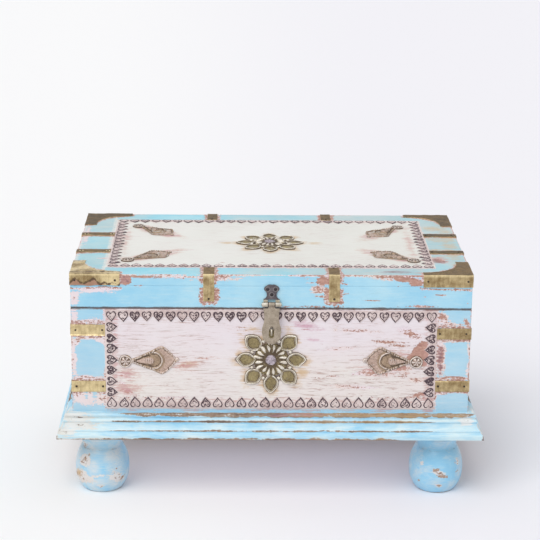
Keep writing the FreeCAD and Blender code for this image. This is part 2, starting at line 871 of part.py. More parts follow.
make_case()
make_plinth()
make_feet()
make_corner_straps()
make_front_hearts()
make_rosettes()
make_leaves()
make_lid()
make_lid_trim()
make_lid_hearts()
make_hinges()
make_hasp()
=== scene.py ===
import math

import bmesh
import bpy
import numpy as np
from mathutils import Matrix, Vector, noise


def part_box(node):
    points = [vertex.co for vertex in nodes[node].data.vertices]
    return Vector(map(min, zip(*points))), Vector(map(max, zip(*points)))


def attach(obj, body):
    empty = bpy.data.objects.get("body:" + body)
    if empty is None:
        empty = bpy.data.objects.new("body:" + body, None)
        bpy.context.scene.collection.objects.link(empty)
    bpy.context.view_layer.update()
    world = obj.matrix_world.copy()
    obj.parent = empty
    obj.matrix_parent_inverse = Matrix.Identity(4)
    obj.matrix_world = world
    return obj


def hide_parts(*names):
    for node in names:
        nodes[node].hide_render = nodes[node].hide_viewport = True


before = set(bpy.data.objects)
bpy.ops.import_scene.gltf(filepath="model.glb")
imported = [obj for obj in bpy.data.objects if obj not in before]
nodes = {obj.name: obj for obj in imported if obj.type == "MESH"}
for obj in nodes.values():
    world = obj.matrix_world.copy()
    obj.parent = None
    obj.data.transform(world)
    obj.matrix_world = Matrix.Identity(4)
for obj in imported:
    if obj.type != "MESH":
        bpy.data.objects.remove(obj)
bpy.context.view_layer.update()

# The looks of a painted chest: worn paint over primer and wood, pressed metal borders and flowers,
# dented brass straps and an iron hasp. Meshes are drawn in millimetres and made metres at the end.
MM = 0.001
FAR = 1000.0
scene = bpy.context.scene


# Places read from the frame, in millimetres

def span(node):
    low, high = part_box(node)
    return np.array(low) / MM, np.array(high) / MM


def merged_copy(node):
    """The mesh of a node as one joined skin, in millimetres."""
    skin = bmesh.new()
    skin.from_mesh(nodes[node].data)
    bmesh.ops.scale(skin, vec=(1 / MM, 1 / MM, 1 / MM), verts=skin.verts)
    bmesh.ops.remove_doubles(skin, verts=skin.verts, dist=0.005)
    return skin


def solids_of(node):
    """Points of each separate solid of a node."""
    skin = merged_copy(node)
    left = set(skin.verts)
    groups = []
    while left:
        seed = left.pop()
        group = [seed]
        for vertex in group:
            for edge in vertex.link_edges:
                other = edge.other_vert(vertex)
                if other in left:
                    left.remove(other)
                    group.append(other)
        groups.append(np.array([vertex.co[:] for vertex in group]))
    skin.free()
    groups.sort(key=lambda points: tuple(np.round(points.mean(0), 1)))
    return groups


seam_z = span("front_board")[1][2]
half_width, half_depth, top_z = span("lid_board")[1]
plinth_low, plinth_high = span("plinth_moulding_front")
plinth_overhang = abs(plinth_low[1]) - half_depth
plinth_height = plinth_high[2] - plinth_low[2]
bracket_low, bracket_high = span("corner_bracket_front_left")
bracket_reach = bracket_high[0] - bracket_low[0]
front_flower_z = sum(span("front_rosette"))[2] / 2


# Fields over points

def uneven(seed, length, *places):
    """Smooth random field, between about -1 and 1, that varies over the given length."""
    draw = np.random.default_rng(seed)
    total = 0.0
    for _ in range(6):
        way = draw.normal(size=len(places))
        way /= np.linalg.norm(way)
        turns = sum(place * share for place, share in zip(places, way)) / (length * draw.uniform(0.5, 1.6))
        total = total + np.sin(2 * math.pi * (turns + draw.uniform()))
    return total / 3.5


def box_distance(points, low, high):
    gap = np.maximum(np.maximum(low - points, points - high), 0)
    return np.linalg.norm(gap, axis=1)


def blob_distance(u, v, middle, half, turn=0.0):
    """About the distance in millimetres from an oval."""
    du = u - middle[0]
    dv = v - middle[1]
    angle = math.radians(turn)
    along = du * math.cos(angle) + dv * math.sin(angle)
    across = dv * math.cos(angle) - du * math.sin(angle)
    return (np.hypot(along / half[0], across / half[1]) - 1) * min(half)


def only(where, distance):
    """A distance that counts in one place and is far away elsewhere."""
    return np.where(where, distance, FAR)


def bump_at(distance, middle, half):
    """Round ridge, 1 at its middle and 0 from half a width away."""
    return np.clip(1 - ((distance - middle) / half) ** 2, 0, 1)


def ramp(value, low, high):
    share = np.clip((value - low) / (high - low), 0, 1)
    return share * share * (3 - 2 * share)


# Finishes

def colour(red, green, blue):
    """Linear colour of screen values from 0 to 255."""
    shares = [value / 255 for value in (red, green, blue)]
    linear = [share / 12.92 if share <= 0.04045 else ((share + 0.055) / 1.055) ** 2.4 for share in shares]
    return (*linear, 1.0)


def feed(tree, socket, value):
    """Link a socket to another one, or set its value."""
    if isinstance(value, bpy.types.NodeSocket):
        tree.links.new(value, socket)
    else:
        socket.default_value = value


class Finish:
    """A material being made: each call adds nodes and gives back the socket that holds the result."""

    def __init__(self, name):
        self.material = bpy.data.materials.new(name)
        self.material.use_nodes = True
        self.tree = self.material.node_tree
        self.shader = self.tree.nodes["Principled BSDF"]
        self.place = self.node("TexCoord").outputs["Object"]

    def node(self, kind, *values, **settings):
        """A node with its settings, fed in the order of its sockets."""
        made = self.tree.nodes.new("ShaderNode" + kind)
        for label, value in settings.items():
            setattr(made, label, value)
        for socket, value in zip(made.inputs, values):
            feed(self.tree, socket, value)
        return made

    def surface(self, **values):
        for label, value in values.items():
            feed(self.tree, self.shader.inputs[label.replace("_", " ")], value)

    def math(self, operation, *values):
        return self.node("Math", *values, operation=operation).outputs[0]

    def total(self, *terms):
        """Sum of value and share pairs."""
        whole = 0.0
        for value, share in terms:
            whole = self.math("MULTIPLY_ADD", value, share, whole)
        return whole

    def step(self, value, low, high, start=0.0, end=1.0):
        """Smooth change from the start to the end while the value goes from low to high."""
        return self.node("MapRange", value, low, high, start, end, interpolation_type="SMOOTHSTEP").outputs[0]

    def blend(self, share, first, second):
        made = self.node("Mix", share, data_type="RGBA")
        feed(self.tree, made.inputs[6], first)
        feed(self.tree, made.inputs[7], second)
        return made.outputs[2]

    def stretched(self, along, share):
        """Object coordinates drawn out along one axis, so that patterns become streaks."""
        scale = [1.0, 1.0, 1.0]
        scale[along] = share
        made = self.node("Mapping", self.place)
        made.inputs["Scale"].default_value = scale
        return made.outputs[0]

    def waving(self, reach):
        """Object coordinates that sway a little, so that long streaks aren't ruled lines."""
        sway = self.noise(10.0, detail=2.0, roughness=0.5).node.outputs[1]
        return self.node("VectorMath", sway, (reach, reach, reach), self.place, operation="MULTIPLY_ADD").outputs[0]

    def noise(self, scale, detail=4.0, roughness=0.55, place=None, distortion=0.0):
        made = self.node("TexNoise", place or self.place)
        for label, value in (("Scale", scale), ("Detail", detail), ("Roughness", roughness),
                             ("Distortion", distortion)):
            made.inputs[label].default_value = value
        return made.outputs[0]

    def swing(self, scale, **settings):
        """Noise about zero, mostly between -1 and 1."""
        return self.math("MULTIPLY_ADD", self.noise(scale, **settings), 4.0, -2.0)

    def field(self, name):
        """The four channels of a field carried by the piece."""
        made = self.node("Attribute", attribute_name=name)
        split = self.node("SeparateColor", made.outputs["Color"])
        return [*split.outputs[:3], made.outputs["Alpha"]]

    def bump(self, height, distance, strength):
        made = self.node("Bump")
        for label, value in (("Strength", strength), ("Distance", distance), ("Height", height)):
            feed(self.tree, made.inputs[label], value)
        feed(self.tree, self.shader.inputs["Normal"], made.outputs[0])


# Pairs of colours that each layer drifts between
SKY_BLUES = (colour(147, 205, 232), colour(180, 222, 237))
TOP_BLUES = (colour(132, 208, 228), colour(172, 223, 234))
PLINTH_BLUES = (colour(138, 198, 228), colour(172, 216, 236))
FOOT_BLUES = (colour(140, 202, 235), colour(172, 220, 242))
SKY_FADES = (colour(174, 205, 222), colour(192, 214, 226))
TOP_FADES = (colour(160, 197, 204), colour(198, 211, 210))
PLINTH_FADES = (colour(184, 220, 232), colour(220, 232, 232))
FOOT_FADES = (colour(196, 216, 227), colour(220, 228, 232))
PRIMERS = (colour(206, 166, 150), colour(152, 106, 94))
PLINTH_PRIMERS = (colour(176, 156, 138), colour(104, 86, 74))
WOODS = (colour(174, 152, 132), colour(118, 97, 82))
PANEL_WHITES = (colour(230, 222, 226), colour(230, 224, 219))
TOP_WHITES = (colour(231, 231, 225), colour(226, 226, 219))
UNDERCOATS = (colour(231, 218, 225), colour(232, 216, 209))
FOOT_PRIMERS = (colour(204, 182, 164), colour(142, 112, 96))
FOOT_UNDERCOATS = (colour(226, 230, 232), colour(224, 212, 204))
PLINTH_UNDERCOATS = (colour(224, 230, 232), colour(216, 214, 206))
OLIVES = (colour(176, 160, 116), colour(104, 90, 60))
SILVERS = (colour(255, 250, 240), colour(196, 182, 162))
LILACS = (colour(226, 214, 224), colour(98, 84, 92))
TANS = (colour(178, 154, 124), colour(118, 96, 76))
ROSY_SILVERS = (colour(250, 242, 236), colour(190, 170, 160))
ROSES = (colour(218, 194, 180), colour(152, 124, 108))
OCHRE_STAIN = colour(204, 168, 116)
PINK_STAIN = colour(198, 144, 164)
# Dark tint: real stains and scratches, and also painted shadow along the lid seam, round the front flower and on the
# feet
DARK_STAIN_AND_SHADE = colour(92, 76, 72)


def painted_wood(name, along, blues=SKY_BLUES, fades=SKY_FADES, whites=PANEL_WHITES, lines=1.0, gloss=0.46,
                 undercoats=UNDERCOATS, primers=PRIMERS, ragging=(0.17, 0.20, 0.28), mottle=0.12, side_blues=None):
    """Blue or white paint over pink undercoat, primer and wood, worn through along the grain.

    The ragging is the shares of blotches, streaks and flecks in a worn edge. Where a piece is faded below
    nothing, it has its side blues.
    """
    finish = Finish(name)
    wear, primer, wood, white = finish.field("coat")
    ochre, pink, dark, faded = finish.field("tint")
    finish.place = finish.waving(0.012)
    blotch = finish.swing(48, detail=6, roughness=0.68, place=finish.stretched(along, 0.55))
    streak = finish.swing(330, detail=4, roughness=0.62, place=finish.stretched(along, 0.08))
    fleck = finish.swing(300, detail=4, roughness=0.7, place=finish.stretched(along, 0.7))
    cloud = finish.swing(11, detail=3)
    stroke = finish.noise(330, detail=5, roughness=0.72, place=finish.stretched(along, 0.09), distortion=0.6)
    hair = finish.noise(560, detail=3, roughness=0.7, place=finish.stretched(along, 0.022), distortion=0.5)
    ragged = finish.total(*zip((blotch, streak, fleck), ragging))
    top_gone = finish.step(finish.total((wear, 1.0), (ragged, 1.0)), 0.45, 0.57)
    speckle = finish.total((primer, 1.0), (ragged, 0.9), (fleck, 0.22), (cloud, 0.1))
    halo_gone = finish.step(speckle, 0.40, 0.62)
    primer_gone = finish.step(finish.total((wood, 1.0), (streak, 0.3), (blotch, 0.2)), 0.42, 0.58)

    drift = finish.step(finish.total((cloud, 0.5), (blotch, 0.35), (streak, 0.2)), -0.8, 0.8)
    mottled = finish.total((faded, 1.0), (blotch, mottle), (streak, mottle))
    blue = finish.blend(mottled, finish.blend(drift, *blues), finish.blend(drift, *fades))
    if side_blues:
        blue = finish.blend(finish.step(faded, -0.9, -0.3, 1.0, 0.0), blue, finish.blend(drift, *side_blues))
    wiped = finish.step(finish.total((streak, 0.7), (blotch, 0.5)), 0.2, 1.4, 0.0, 0.45)
    blue = finish.blend(wiped, blue, colour(214, 228, 236))

    pale = finish.blend(faded, *whites)
    busy = finish.step(finish.total((cloud, 0.7), (blotch, 0.6), (faded, 0.6)), -0.5, 1.0, 0.12, 1.0)
    stroke_share = finish.math("MULTIPLY", finish.step(stroke, 0.54, 0.66, 0.0, 0.95 * lines), busy)
    hair_share = finish.math("MULTIPLY", finish.step(hair, 0.56, 0.66, 0.0, 0.62 * lines), busy)
    pale = finish.blend(finish.step(drift, 0.0, 1.0, 0.0, 0.28 * lines), pale, colour(226, 206, 208))
    pale = finish.blend(stroke_share, pale, colour(184, 150, 140))
    pale = finish.blend(hair_share, pale, colour(160, 138, 120))
    nicks = finish.step(finish.total((fleck, 0.5), (streak, 0.45), (cloud, 0.55)), 0.68, 0.98, 0.0, 0.75 * lines)
    pale = finish.blend(nicks, pale, colour(176, 128, 112))

    is_white = finish.step(finish.total((white, 1.0), (fleck, 0.1), (streak, 0.08)), 0.42, 0.58)
    under = finish.blend(finish.step(cloud, -0.8, 0.8), *undercoats)
    base = finish.blend(finish.step(finish.total((streak, 0.5), (fleck, 0.5)), -0.9, 0.9), *primers)
    grain = finish.blend(finish.step(finish.total((streak, 0.8), (fleck, 0.4)), -0.9, 0.9), *WOODS)
    base = finish.blend(primer_gone, base, grain)
    base = finish.blend(halo_gone, under, base)
    look = finish.blend(top_gone, finish.blend(is_white, blue, pale), base)
    patchy = finish.total((streak, 0.32), (blotch, 0.2), (fleck, 0.14))
    # The dark tint lays real stains and painted shadows alike
    for stain, tone, most in ((ochre, OCHRE_STAIN, 0.72), (pink, PINK_STAIN, 0.7), (dark, DARK_STAIN_AND_SHADE, 0.85)):
        share = finish.step(finish.total((stain, 1.0), (patchy, 1.0)), 0.38, 0.95, 0.0, most)
        look = finish.blend(share, look, tone)
    finish.surface(Base_Color=look, Roughness=finish.step(top_gone, 0.0, 1.0, gloss, 0.72))
    relief = finish.total((top_gone, -0.5), (halo_gone, -0.3), (streak, 0.13), (fleck, 0.06), (stroke_share, -0.4))
    finish.bump(relief, 0.0007, 0.7)
    return finish.material


def bare_wood():
    """Unpainted dry wood, with its grain along the length."""
    finish = Finish("bare_dry_wood")
    streak = finish.swing(180, detail=5, roughness=0.6, place=finish.stretched(0, 0.06))
    cloud = finish.swing(14, detail=3)
    look = finish.blend(finish.step(finish.total((streak, 0.7), (cloud, 0.5)), -1.0, 1.0),
                        colour(178, 142, 108), colour(112, 82, 60))
    finish.surface(Base_Color=look, Roughness=0.78)
    finish.bump(streak, 0.0004, 0.5)
    return finish.material


def sheet_brass():
    """Dull brass sheet: olive with age and darker where painted shade is laid, with painted highlights at its bends,
    spotted dark and coppery where it is torn.
    """
    finish = Finish("old_brass_sheet")
    age, bend, stain, torn = finish.field("metal")
    blotch = finish.swing(70, detail=6, roughness=0.7)
    wipe = finish.swing(240, detail=3, place=finish.stretched(2, 0.12))
    fine = finish.swing(850, detail=3, roughness=0.7)
    # Tarnish and painted light together: the age field carries painted shade, the bend field a painted highlight
    tarnish_and_painted_light = finish.total((blotch, 0.75), (wipe, 0.35), (fine, 0.25), (age, 1.7), (bend, -1.2))
    look = finish.blend(finish.step(tarnish_and_painted_light, -1.1, 1.4), colour(234, 214, 166), colour(132, 108, 70))
    look = finish.blend(finish.step(tarnish_and_painted_light, 1.0, 2.6), look, colour(84, 70, 50))
    coppery = finish.step(finish.total((torn, 1.0), (blotch, 0.3)), 0.3, 0.8, 0.0, 0.85)
    look = finish.blend(coppery, look, colour(176, 136, 116))
    spots = finish.step(finish.total((blotch, 0.6), (fine, 0.4), (stain, 1.0)), 0.8, 1.25)
    look = finish.blend(spots, look, colour(104, 84, 64))
    finish.surface(Base_Color=look, Metallic=0.72, Roughness=finish.step(tarnish_and_painted_light, -0.9, 1.5, 0.32, 0.55))
    finish.bump(finish.total((blotch, 0.6), (fine, 0.14), (spots, -0.25)), 0.0009, 0.6)
    return finish.material


def pressed_border():
    """Pressed sheet under pinkish whitewash, with dark ridges and scribbled hollows."""
    finish = Finish("whitewashed_pressed_sheet")
    ridge, inner, _, _ = finish.field("relief")
    rub = finish.field("rub")[0]
    blotch = finish.swing(75, detail=5, roughness=0.62)
    scribble = finish.swing(310, detail=4, roughness=0.6)
    fine = finish.swing(650, detail=3, roughness=0.7)
    cloud = finish.swing(9, detail=2)
    wash = finish.blend(finish.step(finish.total((blotch, 0.5), (cloud, 0.5)), -0.8, 0.8),
                        colour(230, 216, 212), colour(196, 174, 170))
    wash = finish.blend(finish.step(finish.total((blotch, 0.5), (scribble, 0.5)), 0.2, 1.1, 0.0, 0.5),
                        wash, colour(168, 132, 128))
    dark = finish.blend(finish.step(fine, -0.9, 0.9), colour(54, 41, 50), colour(96, 76, 82))
    broken = finish.math("MULTIPLY", scribble, finish.total((inner, 0.85), (ridge, 0.14)))
    drawn = finish.total((ridge, 1.0), (rub, 0.36), (broken, 1.0), (fine, 0.10), (blotch, 0.08))
    bare = finish.step(drawn, 0.50, 0.72)
    look = finish.blend(bare, wash, dark)
    finish.surface(Base_Color=look, Metallic=finish.math("MULTIPLY", bare, 0.3),
                   Roughness=finish.step(bare, 0.0, 1.0, 0.6, 0.45))
    finish.bump(finish.total((scribble, 0.3), (fine, 0.15)), 0.0005, 0.5)
    return finish.material


def pressed_brass(name, pocket, rim, boss):
    """Pressed ornament: pale rubbed rims, creases darkened by grime and painted shade, dull pockets and tinted raised
    places.
    """
    finish = Finish(name)
    ridge, crease, tinted, age = finish.field("relief")
    blotch = finish.swing(95, detail=5, roughness=0.65)
    fine = finish.swing(430, detail=4, roughness=0.74)
    mottle = finish.step(finish.total((blotch, 0.5), (fine, 0.7)), -1.0, 1.0)
    ground = finish.blend(tinted, finish.blend(mottle, *pocket), finish.blend(mottle, *boss))
    bright = finish.step(finish.total((ridge, 1.0), (blotch, 0.34), (fine, 0.42), (age, -0.2)), 0.42, 0.66)
    look = finish.blend(bright, ground, finish.blend(mottle, *rim))
    # Creases darkened: grime in the hollows and painted shade
    grime_and_shade = finish.step(finish.total((crease, 1.0), (fine, 0.5), (blotch, 0.3), (age, 0.45)), 0.36, 0.95, 0.0, 0.88)
    look = finish.blend(grime_and_shade, look, colour(86, 71, 58))
    wash = finish.step(finish.total((age, 0.7), (blotch, 0.6), (fine, 0.45), (crease, -0.5)), 0.5, 0.95, 0.0, 0.75)
    look = finish.blend(wash, look, colour(226, 222, 212))
    finish.surface(Base_Color=look, Metallic=0.4, Roughness=finish.step(bright, 0.0, 1.0, 0.52, 0.34))
    finish.bump(finish.total((blotch, 0.3), (fine, 0.5)), 0.0007, 0.7)
    return finish.material


def old_metal(name, light, deep, metallic, roughness, rough_end, gaps=False):
    """Worn metal, blotched between two colours, with painted shade in the gaps where the piece has them."""
    finish = Finish(name)
    blotch = finish.swing(110, detail=6, roughness=0.65)
    fine = finish.swing(800, detail=3, roughness=0.7)
    mixed = finish.step(finish.total((blotch, 0.6), (fine, 0.5)), -0.9, 0.9)
    look = finish.blend(mixed, light, deep)
    if gaps:
        # Painted shade in the gaps between knuckles
        look = finish.blend(finish.step(finish.field("metal")[2], 0.2, 0.7), look, colour(66, 56, 52))
    finish.surface(Base_Color=look, Metallic=metallic, Roughness=finish.step(mixed, 0.0, 1.0, roughness, rough_end))
    finish.bump(finish.total((blotch, 0.4), (fine, 0.2)), 0.0003, 0.5)
    return finish.material


def hasp_iron():
    """Iron that is near black on the shield, silver on the arms and knuckles, and pale at its edges, partly rubbed and
    partly painted highlight, with painted shade in its screw holes.
    """
    finish = Finish("rubbed_dark_iron")
    silvered, bend, hole, _ = finish.field("metal")
    blotch = finish.swing(140, detail=5, roughness=0.65)
    fine = finish.swing(800, detail=3)
    black = finish.blend(finish.step(blotch, -0.9, 0.9), colour(82, 76, 80), colour(116, 110, 112))
    silver = finish.blend(finish.step(blotch, -0.9, 0.9), colour(212, 206, 190), colour(160, 150, 130))
    look = finish.blend(finish.step(finish.total((silvered, 1.0), (fine, 0.08)), 0.4, 0.6), black, silver)
    # Pale edges: partly rubbed iron, partly painted highlight on rounded edges
    look = finish.blend(finish.step(finish.total((bend, 1.0), (fine, 0.2)), 0.2, 1.2, 0.0, 0.7),
                        look, colour(172, 168, 162))
    # Painted shade in the screw holes
    look = finish.blend(finish.step(hole, 0.3, 0.8), look, colour(40, 34, 36))
    finish.surface(Base_Color=look, Metallic=0.7, Roughness=0.4)
    finish.bump(finish.total((blotch, 0.5), (fine, 0.2)), 0.0004, 0.5)
    return finish.material


rail_paint = painted_wood("rail_paint", 0)
end_rail_paint = painted_wood("end_rail_paint", 1)
panel_paint = painted_wood("panel_paint", 0)
end_panel_paint = painted_wood("end_panel_paint", 1)
top_paint = painted_wood("top_paint", 0, TOP_BLUES, TOP_FADES, TOP_WHITES, lines=0.4, side_blues=SKY_BLUES)
plinth_look = {"undercoats": PLINTH_UNDERCOATS, "primers": PLINTH_PRIMERS, "ragging": (0.10, 0.30, 0.14),
               "mottle": 0.34}
plinth_paint = painted_wood("plinth_paint", 0, PLINTH_BLUES, PLINTH_FADES, **plinth_look)
end_plinth_paint = painted_wood("end_plinth_paint", 1, PLINTH_BLUES, PLINTH_FADES, **plinth_look)
foot_paint = painted_wood("foot_paint", 0, FOOT_BLUES, FOOT_FADES, gloss=0.3, undercoats=FOOT_UNDERCOATS,
                          primers=FOOT_PRIMERS, ragging=(0.28, 0.10, 0.34), mottle=0.3)
inside_wood = bare_wood()
strap_brass = sheet_brass()
border_sheet = pressed_border()
flower_brass = pressed_brass("flower_brass", OLIVES, SILVERS, LILACS)
leaf_brass = pressed_brass("leaf_brass", TANS, ROSY_SILVERS, ROSES)
nail_iron = old_metal("dark_nail_iron", colour(84, 72, 60), colour(48, 40, 34), 0.55, 0.45, 0.6)
shadow_iron = old_metal("near_black_iron", colour(64, 58, 60), colour(36, 31, 33), 0.5, 0.45, 0.6)
bright_steel = old_metal("bright_worn_steel", colour(224, 218, 204), colour(168, 158, 138), 0.85, 0.28, 0.42)
hasp_steel = old_metal("beige_worn_steel", colour(180, 167, 150), colour(122, 110, 95), 0.5, 0.42, 0.55, gaps=True)
hinge_brass = old_metal("hinge_brass", colour(182, 158, 98), colour(118, 98, 58), 0.8, 0.36, 0.5)
shield_iron = hasp_iron()


# Meshes

def make_piece(name, points, faces, finish, crease=35.0, **fields):
    """Object from points in millimetres, with colour fields on its points."""
    mesh = bpy.data.meshes.new(name)
    mesh.from_pydata((np.asarray(points) * MM).tolist(), [], [list(map(int, face)) for face in faces])
    return finish_piece(name, mesh, finish, crease, **fields)


def finish_piece(name, mesh, finish, crease=35.0, **fields):
    for label, values in fields.items():
        add_field(mesh, label, values)
    mesh.materials.clear()
    mesh.materials.append(finish)
    mesh.polygons.foreach_set("use_smooth", [True] * len(mesh.polygons))
    mesh.set_sharp_from_angle(angle=math.radians(crease))
    mesh.update()
    piece = bpy.data.objects.new(name, mesh)
    scene.collection.objects.link(piece)
    return piece


def add_field(mesh, label, values):
    values = np.asarray(values, dtype=np.float32)
    if values.ndim == 1:
        values = np.column_stack((values, np.zeros((len(values), 3))))
    field = mesh.attributes.new(label, "FLOAT_COLOR", "POINT")
    field.data.foreach_set("color", values.astype(np.float32).ravel())


def stand_in(piece, body, slot, *replaced):
    """The piece takes the place of nodes and rides on their body; its slot is not used."""
    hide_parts(*replaced)
    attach(piece, body)
    return piece


def gathered(parts):
    """One point and face list from several, with their fields."""
    points, faces, fields = [], [], []
    start = 0
    for part_points, part_faces, part_fields in parts:
        points.append(part_points)
        fields.append(part_fields)
        faces += [[corner + start for corner in face] for face in part_faces]
        start += len(part_points)
    return np.concatenate(points), faces, np.concatenate(fields)


def ticks(low, high, radius, cell):
    """Grid lines: close over the rounded edges and even between them."""
    bend = radius * (1 - math.tan(math.pi / 8))
    count = max(1, round((high - low - 2 * radius) / cell))
    inner = np.linspace(low + radius, high - radius, count + 1)
    return np.concatenate(([low, low + bend], inner, [high - bend, high]))


def rounded_board(low, high, radius, cell):
    """Closed board with rounded edges and a fine grid on every face."""
    lines = [ticks(low[axis], high[axis], radius, cell) for axis in range(3)]
    points, quads = [], []
    start = 0
    for axis in range(3):
        first, second = (axis + 1) % 3, (axis + 2) % 3
        for side, level in ((-1, low[axis]), (1, high[axis])):
            a, b = np.meshgrid(lines[first], lines[second], indexing="ij")
            sheet = np.empty(a.shape + (3,))
            sheet[..., axis] = level
            sheet[..., first] = a
            sheet[..., second] = b
            number = np.arange(a.size).reshape(a.shape) + start
            corners = (number[:-1, :-1], number[1:, :-1], number[1:, 1:], number[:-1, 1:])
            quad = np.stack(corners, -1).reshape(-1, 4)
            quads.append(quad if side > 0 else quad[:, ::-1])
            points.append(sheet.reshape(-1, 3))
            start += a.size
    points, place = np.unique(np.round(np.concatenate(points), 5), axis=0, return_inverse=True)
    quads = place.ravel()[np.concatenate(quads)]
    inner = np.clip(points, np.asarray(low) + radius, np.asarray(high) - radius)
    away = points - inner
    away /= np.linalg.norm(away, axis=1, keepdims=True)
    return inner + away * radius, quads


FACES = {
    "top": ((1, 0, 0), (0, 1, 0), (0, 0, 1)),
    "front": ((1, 0, 0), (0, 0, 1), (0, -1, 0)),
    "back": ((-1, 0, 0), (0, 0, 1), (0, 1, 0)),
    "left": ((0, -1, 0), (0, 0, 1), (-1, 0, 0)),
    "right": ((0, 1, 0), (0, 0, 1), (1, 0, 0)),
}


def onto(face, points, where, turn=0.0):
    """Points drawn with height along Z, turned about it and set down on a face of the chest."""
    angle = math.radians(turn)
    x = points[:, 0] * math.cos(angle) - points[:, 1] * math.sin(angle)
    y = points[:, 0] * math.sin(angle) + points[:, 1] * math.cos(angle)
    return np.asarray(where) + np.column_stack((x, y, points[:, 2])) @ np.array(FACES[face], dtype=float)


def relief(outline, middle, rings):
    """Closed boss on a flat base. Each ring is a share of the outline's reach, a height and up to four fields."""
    outline = np.asarray(outline)
    middle = np.asarray(middle)
    count = len(outline)
    points, fields, faces = [], [], []
    for share, height, *values in rings:
        ring = middle + (outline - middle) * share
        points.append(np.column_stack((ring, np.full(count, height))))
        field = (*values, 0.0, 0.0, 0.0, 0.0)[:4]
        fields += [field] * count
    points.append([[*middle, height]])
    fields.append(field)
    following = [(number + 1) % count for number in range(count)]
    for level in range(len(rings) - 1):
        here = level * count
        above = here + count
        for number, after in enumerate(following):
            faces.append((here + number, here + after, above + after, above + number))
    last = (len(rings) - 1) * count
    crown = len(rings) * count
    for number, after in enumerate(following):
        faces.append((last + number, last + after, crown))
    faces.append(tuple(reversed(range(count))))
    return np.concatenate(points), faces, np.array(fields, dtype=float)


def circle(radius, count=28, middle=(0.0, 0.0)):
    angle = np.arange(count) * 2 * math.pi / count
    return np.column_stack((middle[0] + radius * np.cos(angle), middle[1] + radius * np.sin(angle)))


def tube_faces(rings, around):
    """Faces of a closed tube of rings, with its two ends."""
    number = np.arange(rings * around).reshape(rings, around)
    after = np.roll(number, -1, axis=1)
    faces = np.stack((number[:-1], after[:-1], after[1:], number[1:]), -1).reshape(-1, 4).tolist()
    return faces + [number[0][::-1].tolist(), number[-1].tolist()]


def turn_outwards(piece):
    """Faces of a closed shape made to point out."""
    skin = bmesh.new()
    skin.from_mesh(piece.data)
    bmesh.ops.recalc_face_normals(skin, faces=skin.faces)
    skin.to_mesh(piece.data)
    skin.free()


FLAT_ANGLE = math.radians(1)
SHARP_ANGLE = math.radians(32)
DENT_LENGTH = 14.0
FINE_DENTS = 3.1
FINE_DENT_SHARE = 0.35
# Unseeded, noise_vector starts from the clock and the dents change from run to run
noise.seed_set(5)


def soft_copy(node, cell, edge, dent=0.0, seed=0.0, crumple=None):
    """A node's metal, cut into a grid, with its sharp edges rounded and its sheet a little dented."""
    skin = merged_copy(node)
    bmesh.ops.dissolve_limit(skin, angle_limit=FLAT_ANGLE, verts=skin.verts, edges=skin.edges)
    low, high = span(node)
    for axis in range(3):
        count = int((high[axis] - low[axis]) / cell)
        for number in range(1, count):
            middle = (low + high) / 2
            middle[axis] = low[axis] + (high[axis] - low[axis]) * number / count
            along = [0.0, 0.0, 0.0]
            along[axis] = 1.0
            everything = skin.verts[:] + skin.edges[:] + skin.faces[:]
            bmesh.ops.bisect_plane(skin, geom=everything, plane_co=middle, plane_no=along)
    if edge:
        sharp = [line for line in skin.edges if line.is_manifold and line.calc_face_angle() > SHARP_ANGLE]
        bmesh.ops.bevel(skin, geom=sharp, offset=edge, offset_type="OFFSET", segments=2, profile=0.5,
                        affect="EDGES", clamp_overlap=True)
    bmesh.ops.triangulate(skin, faces=skin.faces)
    skin.normal_update()
    if dent:
        for vertex in skin.verts:
            place = vertex.co / DENT_LENGTH + Vector((seed, seed, seed))
            push = noise.noise_vector(place) * dent + noise.noise_vector(place * FINE_DENTS) * (dent * FINE_DENT_SHARE)
            if crumple:
                push += crumple(vertex.co)
            vertex.co += push
    mesh = bpy.data.meshes.new(node + "_soft")
    skin.to_mesh(mesh)
    skin.free()
    mesh.transform(Matrix.Scale(MM, 4))
    return mesh


def mesh_points(mesh):
    points = np.empty(len(mesh.vertices) * 3, dtype=np.float32)
    mesh.vertices.foreach_get("co", points)
    return points.reshape(-1, 3) / MM


# Trees that repeat a shape

class Tree:
    """Geometry nodes being made, with named inputs that are set by their identifiers."""

    def __init__(self, name, inputs):
        self.group = bpy.data.node_groups.new(name, "GeometryNodeTree")
        face = self.group.interface
        face.new_socket("Geometry", in_out="OUTPUT", socket_type="NodeSocketGeometry")
        face.new_socket("Geometry", in_out="INPUT", socket_type="NodeSocketGeometry")
        self.names = {}
        for label, kind in inputs:
            self.names[label] = face.new_socket(label, in_out="INPUT", socket_type="NodeSocket" + kind).identifier
        self.start = self.group.nodes.new("NodeGroupInput")
        self.end = self.group.nodes.new("NodeGroupOutput")

    def given(self, label):
        return self.start.outputs[label]

    def node(self, kind, settings=None, **inputs):
        made = self.group.nodes.new(kind)
        for label, value in (settings or {}).items():
            setattr(made, label, value)
        for label, value in inputs.items():
            feed(self.group, made.inputs[label.replace("_", " ")], value)
        return made

    def math(self, operation, first, second):
        made = self.node("ShaderNodeMath", {"operation": operation})
        feed(self.group, made.inputs[0], first)
        feed(self.group, made.inputs[1], second)
        return made.outputs[0]

    def random(self, low, high, seed):
        made = self.node("FunctionNodeRandomValue", {"data_type": "FLOAT"}, Seed=seed)
        feed(self.group, made.inputs[2], low)
        feed(self.group, made.inputs[3], high)
        return made.outputs[1]

    def close(self, geometry):
        """End the tree in real geometry with its material."""
        realized = self.node("GeometryNodeRealizeInstances", Geometry=geometry)
        dressed = self.node("GeometryNodeSetMaterial", Geometry=realized.outputs[0], Material=self.given("Finish"))
        self.group.links.new(dressed.outputs[0], self.end.inputs[0])


